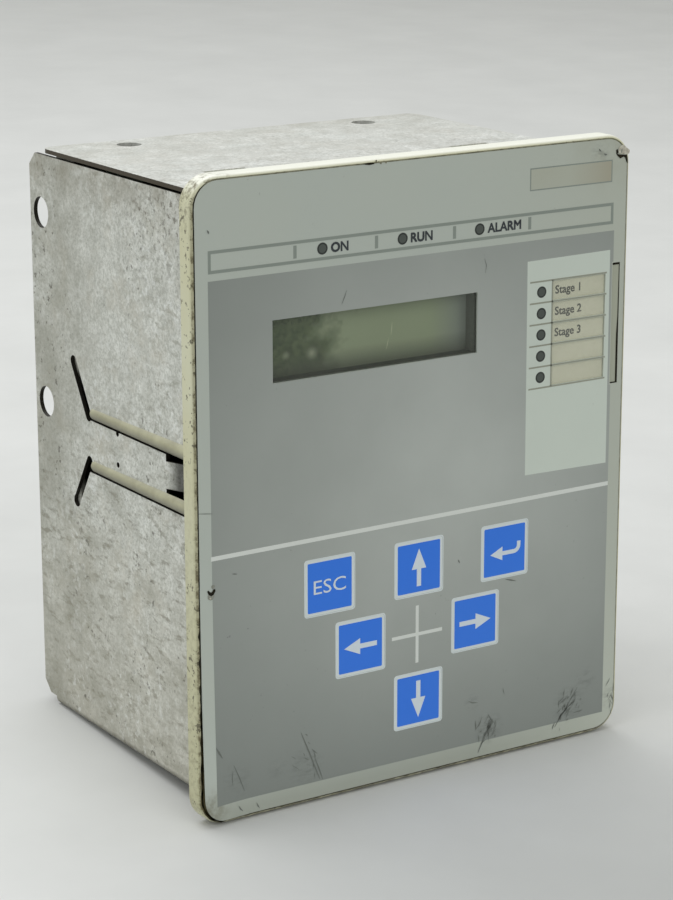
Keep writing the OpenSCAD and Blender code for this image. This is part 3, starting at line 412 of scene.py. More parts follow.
# Plated or drawn metal: clear shine with faint machining scatter and a little tarnish
def platedMetal(name, hexCode, tarnish, roughness=0.3, grainMm=1.5):
    material, tree = startMaterial(name, roughness, 1.0)
    dull = patches(tree, 5, 0.45, 0.75, 5.0)
    paint(tree, layOver(tree, both(tree, dull, 0.5), hexCode, tarnish))
    scatter = patches(tree, grainMm, 0.3, 0.7, 3.0)
    spread = {"To Min": roughness - 0.08, "To Max": roughness + 0.1}
    rough = addNode(tree, "MapRange", spread, {"Value": scatter})
    tree.links.new(rough.outputs[0], tree.nodes["Principled BSDF"].inputs["Roughness"])
    return material


# Glass-epoxy board under green solder resist: glossy green with copper tracks showing as paler lines
def circuitBoard(name):
    material, tree = startMaterial(name, 0.3, ior=1.55)
    turn = addNode(tree, "Mapping", {"Rotation": (0.0, math.radians(45), 0.0)}, {"Vector": ownPlace(tree)})
    tracks = addNode(tree, "TexBrick", {"Scale": perMm(12), "Mortar Size": 0.03, "Bias": -1.0},
                     {"Vector": turn.outputs["Vector"]})
    paint(tree, layOver(tree, tracks.outputs["Fac"], "#1d5a38", "#3a7d52"))
    return material


# Bond paper, uncoated: dry beige with a faint fibre fleck, greyer where it stands in the open slot
def cardPaper(name, hexCode, fleck):
    material, tree = startMaterial(name, 0.8, ior=1.5, specular=0.25)
    fibre = patches(tree, 1.2, 0.45, 0.7, 5.0)
    colour = layOver(tree, both(tree, fibre, 0.5), hexCode, fleck)
    paint(tree, layered(tree, colour, ("#b4b8a8", along(tree, "X", 0.0635, 0.0655))))
    return material


# Grime in the joint round the film, with painted shadow where the loose corner stands off the frame: dull
# brown-grey, nearly black down the left side
def jointGrimeAndShadow(name):
    material, tree = startMaterial(name, 0.75, specular=0.2)
    patch = patches(tree, 2.2, 0.4, 0.6, 4.0)
    tones = (("#55533f", "#7d7b66"), ("#37352a", "#5c5a49"), ("#17150d", "#2e2a1c"),
             ("#3f3a24", "#6b6447"), ("#84837a", "#a5a598"), ("#6f6d5a", "#96947f"))
    usual, foot, left, leftFoot, right, top = (layOver(tree, patch, *pair) for pair in tones)
    left = layered(tree, left, (leftFoot, along(tree, "Z", filmLow.z + 0.035, filmLow.z + 0.008)))
    paint(tree, layered(tree, usual, (foot, along(tree, "Z", filmLow.z + 0.004, filmLow.z + 0.001)),
                        (left, along(tree, "X", filmLow.x + 0.004, filmLow.x + 0.001)),
                        (right, along(tree, "X", filmHigh.x - 0.004, filmHigh.x - 0.001)),
                        (top, along(tree, "Z", filmHigh.z - 0.003, filmHigh.z))))
    return material


# Dried grime and scorched plastic, and near-black painted shade in gaps and dents: flat, nearly black, patchy
def grimeSpot(name, hexCode, thin):
    material, tree = startMaterial(name, 0.75, specular=0.2)
    patch = patches(tree, 0.9, 0.35, 0.65, 4.0)
    paint(tree, layOver(tree, patch, hexCode, thin))
    return material


clipArmFeet = (0.09725, 0.08205)  # heights of the clip arms' lower edges
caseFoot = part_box("case_wrap")[0].z
scuffSpots = ((24.5, -78.6, 5.5, 0.5), (52.6, -77.6, 6.5, 0.45), (59.0, -71.0, 4.5, 0.35),
              (18.4, -69.8, 3.0, 0.4), (68.0, -78.0, 4.0, 0.45), (-37.0, -77.0, 6.5, 0.35),
              (-59.0, -76.0, 6.0, 0.22), (-46.0, -76.0, 4.0, 0.2),
              (60.0, 83.2, 4.0, 0.35))  # x, z, reach and strength
bubbles = ((-0.02526, -0.0029, 0.0017), (-0.0172, -0.0032, 0.0024))  # x, z from the glass's middle, radius
creamPlastic = creamAbs("cream_abs_moulded")
zincSide = galvanisedSheet("galvanised_steel_folded_case", "#f1f3ef", "#c0c2bb", "#bcb8a9", 0.75, 0.62,
                           insideShade, "#2a2822")
zincTop = galvanisedSheet("galvanised_steel_rolled_plate", "#f1f3f2", "#c6c9c6", "#cbc9c1", 0.3, 0.65,
                          longEdgeShade, "#453e31", rolled=0.4)
zincRear = galvanisedSheet("galvanised_steel_pressed_panel", "#cfd0c9", "#a8a89e", "#b0a896", 0.4, 0.5,
                           rustBlooms, "#8f8b7e")
filmPale = printedFilm("polyester_film_pale_print", "#c0c8c1", "#c6cbbf", soiled=0.5)
filmGrey = sheenedFilm("polyester_film_grey_print", "#bec4c0", "#7f8581")
filmLine = printedFilm("polyester_film_white_print", "#e4e9e5", "#d8deda")
filmPanel = printedFilm("polyester_film_panel_print", "#d7e1d8", "#c9d2ca")
filmRule = printedFilm("polyester_film_rule_print", "#929b94", "#878f89")
filmRow = printedFilm("polyester_film_row_print", "#9fa294", "#909284")
filmPlate = printedFilm("polyester_film_beige_print", "#bdc2b6", "#b2b3a0", 0.5, stained=True)
filmText = printedFilm("polyester_film_black_print", "#353b40", "#43484b")
lampRim = printedFilm("polyester_film_lamp_rim", "#2f3432", "#3a3f3d")
lampFace = printedFilm("polyester_film_lamp_tint", "#555b57", "#4a504d", roughness=0.3)
keyRim = printedFilm("polyester_key_white_print", "#e3ecee", "#d4dee0")
keyBlue = printedFilm("polyester_key_blue_print", "#327ff6", "#4084ea", 0.25)
keyWhite = printedFilm("polyester_key_legend_print", "#e2edf7", "#d0dde8")
labelText = printedFilm("card_print_grey", "#3f3e38", "#4c4a42")
windowClear = clearSheet("polycarbonate_polished_window", 0.05)
labelClear = clearSheet("polyester_label_pane", 0.12, 0.3)
paper = cardPaper("card_paper_aged", "#e2e1cc", "#d4d2bc")
grime = grimeSpot("black_grime_and_painted_shade", "#14120c", "#2c2718")
joint = jointGrimeAndShadow("grime_and_shadow_in_joint")
dirt = grimeSpot("dirt_rubbed_grey", "#8b8d84", "#9a9d94")
scuff = printedFilm("polyester_film_scuffed", "#6f746f", "#7f847e", roughness=0.5)
chipped = grimeSpot("abs_chipped_pale", "#b3ada0", "#dcdacb")
scored = printedFilm("polycarbonate_scored_pale", "#a9b092", "#99a083", roughness=0.6)
foam = cutFoam("pvc_foam_gasket_cut")
lcd = displayGlass("display_glass_polariser", sum(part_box("lcd_glass"), Vector()) / 2)
print("materials made")


def dress(material, *nodes):
    for node in nodes:
        for slot in frame["nodes"][node].material_slots:
            slot.material = material


dress(creamPlastic, "front_frame")
dress(zincSide, "case_wrap")
dress(zincTop, "top_plate")
dress(zincRear, "rear_panel")
dress(windowClear, "display_window")
dress(labelClear, "label_window")
dress(lcd, "lcd_glass")
dress(platedMetal("steel_black_oxide_pressed", "#1c1d1f", "#2a2a28", 0.45), "lcd_bezel")
dress(circuitBoard("glass_epoxy_board_resist"), "lcd_board", "hmi_board", "cpu_board", "io_board")
dress(mouldedPlastic("acrylic_lamp_guide_moulded", "#d9ded8", "#c8cdc6", 0.2),
      "status_light_pipes", "alarm_light_pipes", "led_chips", "lcd_backlight")
dress(mouldedPlastic("polyamide_black_moulded", "#1f2122", "#3a3a37", 0.4),
      "hmi_header", "cpu_header", "cpu_chips", "output_relays", "tact_switches", "current_terminals",
      "current_transformers", "capacitors")
dress(mouldedPlastic("polyamide_green_moulded", "#2f7a4c", "#4d8260", 0.42), "signal_terminals")
dress(platedMetal("steel_zinc_plated_turned", "#b9bcbd", "#8f8f88"), "hmi_screws", "cpu_screws",
      "rear_screws", "current_terminal_screws", "signal_terminal_screws", "earth_washer", "earth_nut",
      "transformer_core")
dress(platedMetal("brass_nickel_washed_turned", "#b8a468", "#8d7d52", 0.28),
      "lcd_spacers", "cpu_standoffs", "io_standoffs", "earth_stud")
dress(platedMetal("copper_enamelled_wound", "#a4552c", "#7c3f22", 0.35, 0.8), "transformer_coil")
dress(mouldedPlastic("pvc_grey_extruded", "#8d9192", "#a1a4a3", 0.5), "ribbon_cable")
keyNames = ("esc", "up", "enter", "left", "right", "down")
dress(keyRim, *("key_" + name for name in keyNames))
print("CAD parts dressed")


def addPiece(name, mesh, material, body):
    piece = addObject(name, mesh)
    mesh.materials.append(material)
    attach(piece, body)
    return piece


def roundedBox(left, low, right, high, radius=0.0, steps=5):
    if radius == 0.0:
        return [(left, low), (right, low), (right, high), (left, high)]
    corners = ((right - radius, low + radius, -90), (right - radius, high - radius, 0),
               (left + radius, high - radius, 90), (left + radius, low + radius, 180))
    loop = []
    for x, z, start in corners:
        for k in range(steps + 1):
            angle = math.radians(start + 90 * k / steps)
            loop.append((x + radius * math.cos(angle), z + radius * math.sin(angle)))
    return loop


def circle(x, z, radius, steps=28):
    turns = [2 * math.pi * k / steps for k in range(steps)]
    return [(x + radius * math.cos(a), z + radius * math.sin(a)) for a in turns]


# The film has come loose at its lower left corner and curls towards the viewer
looseCorner = {"left": -54.0, "top": -16.0, "reachX": 15.5, "reachZ": 70.0, "lift": 1.5, "slide": 0.25,
               "mostX": 1.15, "powerX": 1.6, "powerZ": 1.5, "cuts": 12, "cutX": 1.35, "cutZ": 6.0}


def loosen(x, z):
    inX = min(max((looseCorner["left"] - x) / looseCorner["reachX"], 0.0), looseCorner["mostX"])
    inZ = min(max((looseCorner["top"] - z) / looseCorner["reachZ"], 0.0), 1.0)
    share = inX ** looseCorner["powerX"] * inZ ** looseCorner["powerZ"]
    return looseCorner["lift"] * share, looseCorner["slide"] * share


# A flat sheet from closed loops, the outline first and its openings after, standing this proud of the film
def flatSheet(name, loops, proud, thick, material, body="case", slotName="overlay_print", curls=False):
    bm = bmesh.new()
    edges = []
    for loop in loops:
        verts = [bm.verts.new((x, 0.0, z)) for x, z in loop]
        edges += [bm.edges.new(pair) for pair in zip(verts, verts[1:] + verts[:1])]
    bmesh.ops.triangle_fill(bm, use_beauty=True, edges=edges, normal=(0.0, -1.0, 0.0))
    if curls:
        for k in range(looseCorner["cuts"]):
            spots = (((looseCorner["left"] - looseCorner["cutX"] * k, 0, 0), (1, 0, 0)),
                     ((0, 0, looseCorner["top"] - looseCorner["cutZ"] * k), (0, 0, 1)))
            for spot, normal in spots:
                geometry = bm.verts[:] + bm.edges[:] + bm.faces[:]
                bmesh.ops.bisect_plane(bm, geom=geometry, plane_co=spot, plane_no=normal)
    grown = bmesh.ops.extrude_face_region(bm, geom=bm.faces[:])
    for item in grown["geom"]:
        if isinstance(item, bmesh.types.BMVert):
            item.co.y = thick
    bmesh.ops.recalc_face_normals(bm, faces=bm.faces[:])
    for vert in bm.verts:
        lift, slide = loosen(vert.co.x, vert.co.z) if curls else (0.0, 0.0)
        vert.co = onFilm(vert.co.x + slide, vert.co.z, proud + lift - vert.co.y)
    return addPiece(name, meshFrom(name, bm), material, body)


inkStep = 0.03  # how far each printed layer stands above the one below, mm


# One printed layer, this many ink steps above the film
def printLayer(name, loops, layer, material, **more):
    return flatSheet(name, loops, layer * inkStep, inkStep, material, **more)


# Left, low, right and high ends of a part on the front, grown by this much
def faceBox(node, grow=0.0):
    low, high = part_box(node)
    return ((low.x - filmMiddle.x) * 1000 - grow, (low.z - filmMiddle.z) * 1000 - grow,
            (high.x - filmMiddle.x) * 1000 + grow, (high.z - filmMiddle.z) * 1000 + grow)


def growBox(box, by):
    left, low, right, high = box
    return left - by, low - by, right + by, high + by


# A hollow rectangle, grown outwards and inwards from a box by these amounts
def hollowBox(box, outward, inward):
    return [roundedBox(*growBox(box, outward)), roundedBox(*growBox(box, -inward))]


filmSheet = {"corner": 6.9, "keyGap": 0.04, "keyRing": 0.3, "keyCorner": 0.9,
             "window": (-46.5, 31.65, 18.75, 48.5), "rowPitch": 6.05, "rowMiddle": 33.95, "rowCount": 5,
             "pocketLeft": 44.42, "pocketRight": 62.75, "pocketBar": 0.6,
             "slot": (65.2, 16.8, 67.8, 51.6), "thick": 0.5}
keyHoles = [roundedBox(*faceBox("key_" + name, filmSheet["keyGap"]), filmSheet["keyCorner"])
            for name in keyNames]
windowHole = roundedBox(*filmSheet["window"])
rowHeights = [filmSheet["rowMiddle"] + (2 - k) * filmSheet["rowPitch"] for k in range(filmSheet["rowCount"])]
pocketHalf = (filmSheet["rowPitch"] - filmSheet["pocketBar"]) / 2
pockets = [roundedBox(filmSheet["pocketLeft"], z - pocketHalf, filmSheet["pocketRight"], z + pocketHalf)
           for z in rowHeights]
slotHole = roundedBox(*filmSheet["slot"])
filmEdge = roundedBox(*faceBox("overlay_film"), filmSheet["corner"], 8)
overlay = flatSheet("overlay_film_pale", [filmEdge, windowHole, slotHole] + pockets + keyHoles, 0.0,
                    filmSheet["thick"], filmPale, curls=True)
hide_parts("overlay_film")

greyField = {"left": -65.6, "low": -82.2, "right": 65.4, "high": 60.8, "slotSide": 0.25, "slotEnd": 0.3}
cardPanel = {"corners": [(35.8, -5.75), (64.4, -6.3), (64.2, 55.4), (35.5, 55.1)]}
slotLeft = filmSheet["slot"][0] - greyField["slotSide"]
slotLow, slotHigh = filmSheet["slot"][1] - greyField["slotEnd"], filmSheet["slot"][3] + greyField["slotEnd"]
greyEdge = [(greyField["left"], greyField["low"]), (greyField["right"], greyField["low"]),
            (greyField["right"], slotLow), (slotLeft, slotLow), (slotLeft, slotHigh),
            (greyField["right"], slotHigh), (greyField["right"], greyField["high"]),
            (greyField["left"], greyField["high"])]
printLayer("overlay_grey_field", [greyEdge, windowHole, cardPanel["corners"]] + keyHoles, 1, filmGrey,
           curls=True)
printLayer("overlay_card_panel", [cardPanel["corners"]] + pockets, 1, filmPanel)
dividerLine = {"corners": [(-65.9, -13.55), (65.4, -13.15), (65.4, -11.95), (-65.9, -12.35)]}
printLayer("overlay_divider_line", [dividerLine["corners"]], 2, filmLine)
crossMark = {"x": -0.5, "z": -45.8, "armX": 8.4, "armZ": 8.35, "half": 0.5}
elbow = [(crossMark["armX"], crossMark["half"]), (crossMark["half"], crossMark["half"]),
         (crossMark["half"], crossMark["armZ"])]
crossLoop = []
for sideX, sideZ, order in ((-1, -1, 1), (1, -1, -1), (1, 1, 1), (-1, 1, -1)):
    crossLoop += [(crossMark["x"] + sideX * x, crossMark["z"] + sideZ * z) for x, z in elbow[::order]]
printLayer("overlay_key_cross", [crossLoop], 2, filmLine)
print("film and fields printed")

# Status strip: outlined box with ticks, three lamps and their words
statusStrip = {"box": (-65.5, 62.7, 65.0, 68.7), "line": 0.85, "ticks": (-39.5, -14.2, 10.9, 36.0),
               "tickWide": 1.0, "tickTall": 3.4, "tickZ": 65.75, "lampZ": 65.8, "lampRadius": 1.6,
               "lamps": (("ON", -31.1), ("RUN", -5.9), ("ALARM", 19.2)),
               "wordGap": 2.6, "wordCap": 2.4, "wordWeight": 0.16}
printLayer("overlay_strip_box", hollowBox(statusStrip["box"], 0.0, statusStrip["line"]), 1, filmRule)
half, tall = statusStrip["tickWide"] / 2, statusStrip["tickTall"] / 2
for number, x in enumerate(statusStrip["ticks"]):
    tick = roundedBox(x - half, statusStrip["tickZ"] - tall, x + half, statusStrip["tickZ"] + tall)
    printLayer("overlay_strip_tick_%d" % number, [tick], 1, filmRule)
lampTint = 0.72  # radius of a lamp's tinted middle, as a share of the whole


def lampDot(name, x, z, radius):
    middle = circle(x, z, radius * lampTint)
    printLayer(name + "_rim", [circle(x, z, radius), middle], 2, lampRim)
    printLayer(name + "_tint", [middle], 2, lampFace)


# Lettering as thin flat print; cap height in millimetres
def outline(text, size):
    curve = bpy.data.curves.new("lettering", "FONT")
    curve.body = text
    curve.size = size
    curve.resolution_u = 3
    carrier = addObject("lettering", curve)
    bpy.context.view_layer.update()
    ready = carrier.evaluated_get(bpy.context.evaluated_depsgraph_get())
    mesh = bpy.data.meshes.new_from_object(ready)
    bpy.data.objects.remove(carrier)
    return mesh


# Thickens flat lettering by moving its rim outwards
def embolden(mesh, amount):
    bm = bmesh.new()
    bm.from_mesh(mesh)
    bmesh.ops.remove_doubles(bm, verts=bm.verts[:], dist=0.0005)
    moves = {}
    for edge in bm.edges:
        if len(edge.link_faces) != 1:
            continue
        first, last = (vert.co for vert in edge.verts)
        out = Vector((last.y - first.y, first.x - last.x, 0.0)).normalized()
        if out.dot((first + last) / 2 - edge.link_faces[0].calc_center_median()) < 0:
            out = -out
        for vert in edge.verts:
            moves.setdefault(vert, Vector()).xyz += out
    for vert, move in moves.items():
        vert.co += move.normalized() * amount
    bm.to_mesh(mesh)
    bm.free()


capital = outline("H", 1.0)
capShare = max(v.co.y for v in capital.vertices) - min(v.co.y for v in capital.vertices)


def lettering(name, text, x, z, cap, material, proud, width=None, weight=0.0, body="case", centred=False):
    mesh = outline(text, cap / capShare)
    if weight:
        embolden(mesh, weight)
    xs = [v.co.x for v in mesh.vertices]
    stretch = width / (max(xs) - min(xs)) if width else 1.0
    shift = (max(xs) + min(xs)) / 2 if centred else min(xs)
    start = onFilm(x, z, proud)
    for vert in mesh.vertices:
        vert.co = start + Vector(((vert.co.x - shift) * stretch, 0.0, vert.co.y)) / 1000
    return addPiece(name, mesh, material, body)


for word, x in statusStrip["lamps"]:
    lampDot("overlay_lamp_" + word.lower(), x, statusStrip["lampZ"], statusStrip["lampRadius"])
    lettering("overlay_word_" + word.lower(), word, x + statusStrip["wordGap"],
              statusStrip["lampZ"] - statusStrip["wordCap"] / 2, statusStrip["wordCap"], filmText,
              2 * inkStep, weight=statusStrip["wordWeight"])

# Bare outlined plate at the upper right
plateBox = {"box": (35.9, 74.55, 64.3, 80.8), "line": 0.35}
plateLoops = hollowBox(plateBox["box"], 0.0, plateBox["line"])
printLayer("overlay_plate_outline", plateLoops, 1, filmRule)
printLayer("overlay_plate_fill", plateLoops[1:], 1, filmPlate)

# Alarm rows: lamps, ruled lines, and a card that slides in behind the clear panes
alarmRows = {"lampX": 40.5, "lampRadius": 1.6, "ruleLeft": 36.5, "ruleRight": 63.2, "ruleWide": 0.45,
             "words": ("Stage 1", "Stage 2", "Stage 3"), "wordX": 45.6, "wordCap": 2.2,
             "wordWeight": 0.1, "wordProud": 0.02, "sideLap": 0.05}
for number, z in enumerate(rowHeights):
    lampDot("overlay_lamp_row_%d" % (number + 1), alarmRows["lampX"], z, alarmRows["lampRadius"])
ruleHalf, rowHalf = alarmRows["ruleWide"] / 2, filmSheet["rowPitch"] / 2
for number in range(filmSheet["rowCount"] + 1):
    z = rowHeights[0] + filmSheet["rowPitch"] * (0.5 - number)
    rule = roundedBox(alarmRows["ruleLeft"], z - ruleHalf, alarmRows["ruleRight"], z + ruleHalf)
    printLayer("overlay_row_rule_%d" % number, [rule], 2, filmRow)
sideRule = roundedBox(filmSheet["pocketLeft"] - alarmRows["ruleWide"], rowHeights[-1] - rowHalf,
                      filmSheet["pocketLeft"] + alarmRows["sideLap"], rowHeights[0] + rowHalf)
printLayer("overlay_row_rule_side", [sideRule], 2, filmRow)

cardLow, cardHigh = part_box("legend_card")
bowedCard = {"flatTo": 0.0640, "bow": 0.00035, "columns": 24, "behind": 0.00006, "thick": 0.00014,
             "turn": 0.6 * math.pi}
bm = bmesh.new()
rows = []
for k in range(bowedCard["columns"] + 1):
    x = cardLow.x + (cardHigh.x - cardLow.x) * k / bowedCard["columns"]
    past = max(0.0, (x - bowedCard["flatTo"]) / (cardHigh.x - bowedCard["flatTo"]))
    y = cardLow.y + bowedCard["behind"] - bowedCard["bow"] * math.sin(bowedCard["turn"] * min(past, 1.0))
    rows.append([bm.verts.new((x, y, z)) for z in (cardLow.z, cardHigh.z)])
for a, b in zip(rows, rows[1:]):
    bm.faces.new((a[0], b[0], b[1], a[1]))
grown = bmesh.ops.extrude_face_region(bm, geom=bm.faces[:])
bmesh.ops.translate(bm, vec=(0.0, bowedCard["thick"], 0.0),
                    verts=[g for g in grown["geom"] if isinstance(g, bmesh.types.BMVert)])
bmesh.ops.recalc_face_normals(bm, faces=bm.faces[:])
card = addPiece("legend_card_bowed", meshFrom("legend_card_bowed", bm), paper, "case")
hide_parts("legend_card")
cardDepth = (cardLow.y + bowedCard["behind"] - filmLow.y) * 1000
for word, z in zip(alarmRows["words"], rowHeights):
    lettering("legend_word_" + word[-1], word, alarmRows["wordX"], z - alarmRows["wordCap"] / 2,
              alarmRows["wordCap"], labelText, alarmRows["wordProud"] - cardDepth,
              weight=alarmRows["wordWeight"])
print("strip, plate and rows printed")

# Keys: a blue field inside the white rim, and a white legend
keyPrint = {"rim": 0.82, "corner": 0.35, "upright": (10.8, 5.8, 4.8, 1.43), "level": (10.7, 5.2, 4.6, 1.4),
            "escCap": 3.8, "escWide": 10.3}


def arrowUp(tall, headTall, headWide, shaft):
    top, low = tall / 2, -tall / 2
    neck = top - headTall
    return [(-shaft / 2, low), (shaft / 2, low), (shaft / 2, neck), (headWide / 2, neck), (0.0, top),
            (-headWide / 2, neck), (-shaft / 2, neck)]


def turned(loop, quarter):
    for _ in range(quarter):
        loop = [(-z, x) for x, z in loop]
    return loop


# Return arrow: head on the left, shaft along, a round corner, and a short upright
returnSign = {"axis": -0.8, "half": 0.6, "bend": 1.7, "bendX": 3.2, "tip": -4.9, "neck": -0.75,
              "headHalf": 2.0, "top": 2.0}


def arrowReturn():
    axis, half, bend, bendX, tip, neck, headHalf, top = returnSign.values()
    turns = [math.radians(15 * k - 90) for k in range(7)]
    outer, inner = ([(bendX + radius * math.cos(a), axis + bend + radius * math.sin(a)) for a in turns]
                    for radius in (bend + half, bend - half))
    head = [(neck, axis + half), (neck, axis + headHalf), (tip, axis), (neck, axis - headHalf),
            (neck, axis - half)]
    upright = [(bendX + bend + half, top), (bendX + bend - half, top)]
    return head[2:] + outer + upright + inner[::-1] + head[:2]


keyLegends = {"up": arrowUp(*keyPrint["upright"]), "down": turned(arrowUp(*keyPrint["upright"]), 2),
              "left": turned(arrowUp(*keyPrint["level"]), 1), "right": turned(arrowUp(*keyPrint["level"]), 3),
              "enter": arrowReturn()}
for name in keyNames:
    node = "key_" + name
    body = name + "_key"
    left, low, right, high = faceBox(node)
    x, z = (left + right) / 2, (low + high) / 2
    proud = (filmLow.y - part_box(node)[0].y) * 1000
    flatSheet(node + "_field", [roundedBox(*faceBox(node, -keyPrint["rim"]), keyPrint["corner"])],
              proud + inkStep, inkStep, keyBlue, body, "key_print")
    ring = [roundedBox(*faceBox(node, filmSheet[edge]), filmSheet["keyCorner"])
            for edge in ("keyRing", "keyGap")]
    printLayer("overlay_key_ring_" + name, ring, 2, keyRim)
    if name == "esc":
        lettering("key_esc_legend", "ESC", x, z - keyPrint["escCap"] / 2, keyPrint["escCap"], keyWhite,
                  proud + 2 * inkStep, keyPrint["escWide"], body=body, centred=True)
    else:
        flatSheet(node + "_legend", [[(x + a, z + b) for a, b in keyLegends[name]]],
                  proud + 2 * inkStep, inkStep, keyWhite, body, "key_print")
print("keys printed")

# Foam gasket round the display, between the clear window and the display's metal frame, with a lining down to
# the glass; both are dark sheets that also stand in for the shade on the recess walls
gasket = {"front": 1.55, "rear": 3.35, "wall": 1.0, "lap": 0.03, "lining": 0.25, "glass": 5.3}
for name, outward, near, far in (("display_gasket", "wall", "front", "rear"),
                                 ("display_gasket_lining", "lining", "rear", "glass")):
    flatSheet(name, hollowBox(filmSheet["window"], gasket[outward], gasket["lap"]), -gasket[near],
              gasket[far] - gasket[near], foam, slotName="black_plastic")

# Card slot: a near-black sheet as painted shade in the gaps where the card has sunk away from the slot's ends
# and its right side
cardGap = {"top": 0.65, "bottom": 0.35, "rightTop": 0.18, "rightMiddle": 0.28, "rightLow": 0.6,
           "bendHigh": 36.0, "bendLow": 31.0, "depth": 0.12, "thick": 0.05}
left, low, right, high = filmSheet["slot"]
cardTop, cardFoot = high - cardGap["top"], low + cardGap["bottom"]
flatSheet("card_slot_gap_shade", [[(left, low), (right, low), (right, high), (left, high), (left, cardTop),
                             (right - cardGap["rightTop"], cardTop),
                             (right - cardGap["rightMiddle"], cardGap["bendHigh"]),
                             (right - cardGap["rightLow"], cardGap["bendLow"]),
                             (right - cardGap["rightLow"], cardFoot), (left, cardFoot)]],
          -cardGap["depth"], cardGap["thick"], grime)


# Points along a loop with the direction away from its inside
def walkRound(loop, pitch):
    points = []
    for (x0, z0), (x1, z1) in zip(loop, loop[1:] + loop[:1]):
        length = math.hypot(x1 - x0, z1 - z0)
        count = max(1, int(length / pitch))
        for k in range(count):
            t = k / count
            points.append((x0 + (x1 - x0) * t, z0 + (z1 - z0) * t, (z1 - z0) / length, (x0 - x1) / length))
    return points


# Grime in the joint round the film, of uneven width and widest at the lower left
edgeGrime = {"least": 0.12, "most": 0.3, "corner": 0.35, "cornerX": -60.0, "cornerZ": -30.0, "rightX": 60.0,
             "rightShare": 0.5, "pitch": 1.1, "under": 0.05}
outerEdge, innerEdge = [], []
for x, z, nx, nz in walkRound(filmEdge, edgeGrime["pitch"]):
    wave = 0.5 + 0.25 * math.sin(0.61 * x + 1.7 * z) + 0.25 * math.sin(2.3 * x - 0.83 * z + 1.0)
    width = edgeGrime["least"] + edgeGrime["most"] * wave ** 2
    if x < edgeGrime["cornerX"] and z < edgeGrime["cornerZ"]:
        width += edgeGrime["corner"] * wave
    if x > edgeGrime["rightX"]:
        width *= edgeGrime["rightShare"]
    outerEdge.append((x + nx * width, z + nz * width))
    innerEdge.append((x - nx * edgeGrime["under"], z - nz * edgeGrime["under"]))
printLayer("joint_grime_round_film", [outerEdge, innerEdge], 1, joint, slotName="frame_plastic")

# Grime and painted shadow under the loose corner: down its left side, round the bend and back beneath the
# film
filmLeft, filmBottom = faceBox("overlay_film")[:2]
cornerGrimeAndShadow = {"reach": 0.75, "side": ((0.1, -34.0), (-0.15, -48.0), (-0.3, -58.0), (-0.25, -66.0),
                                       (-0.55, -72.0), (-0.45, -77.0)),
               "foot": (9.0, 0.1), "back": ((7.0, -83.0), (3.5, -79.0), (2.2, -72.0), (1.4, -55.0))}
bend = filmSheet["corner"]
bendTurns = [math.radians(180 + 16 * k) for k in range(6)]
underCorner = [(filmLeft + x, z) for x, z in cornerGrimeAndShadow["side"]]
underCorner += [(filmLeft + bend + (bend + cornerGrimeAndShadow["reach"]) * math.cos(a),
                 filmBottom + bend + (bend + cornerGrimeAndShadow["reach"]) * math.sin(a)) for a in bendTurns]
underCorner += [(filmLeft + cornerGrimeAndShadow["foot"][0], filmBottom + cornerGrimeAndShadow["foot"][1])]
underCorner += [(filmLeft + x, z) for x, z in cornerGrimeAndShadow["back"]]
printLayer("corner_grime_and_shadow_under_film", [underCorner], 1, joint, slotName="frame_plastic")


# Strokes as thin flat ribbons; each stroke is a run of x, z and half width in millimetres
def strokeSheet(name, strokes, proud, material):
    bm = bmesh.new()
    for stroke in strokes:
        pairs = []
        for k, (x, z, half) in enumerate(stroke):
            before, after = stroke[max(k - 1, 0)], stroke[min(k + 1, len(stroke) - 1)]
            dx, dz = after[0] - before[0], after[1] - before[1]
            length = math.hypot(dx, dz)
            sx, sz = dz / length * half, -dx / length * half
            lift, slide = loosen(x, z)
            pairs.append([bm.verts.new(onFilm(x + slide + way * sx, z + way * sz, proud + lift))
                          for way in (1, -1)])
        for (a, b), (c, d) in zip(pairs, pairs[1:]):
            bm.faces.new((a, c, d, b))
    return addPiece(name, meshFrom(name, bm), material, "case")


fineEnd = 0.02  # half width of a rub's ends, mm


# A patch of short uneven rubs round a place, the same on each run
def rubs(seed, middle, spread, count, lean):
    luck = random.Random(seed)
    strokes = []
    for _ in range(count):
        x = middle[0] + luck.gauss(0, spread[0])
        z = middle[1] + luck.gauss(0, spread[1])
        long = luck.uniform(0.8, 3.2)
        half = luck.uniform(0.06, 0.2)
        angle = lean + luck.gauss(0, 0.35)
        ends = (math.cos(angle) * long / 2, math.sin(angle) * long / 2)
        bow = luck.uniform(-0.2, 0.2)
        strokes.append([(x - ends[0], z - ends[1], fineEnd), (x + bow, z, half),
                        (x + ends[0], z + ends[1], fineEnd)])
    return strokes


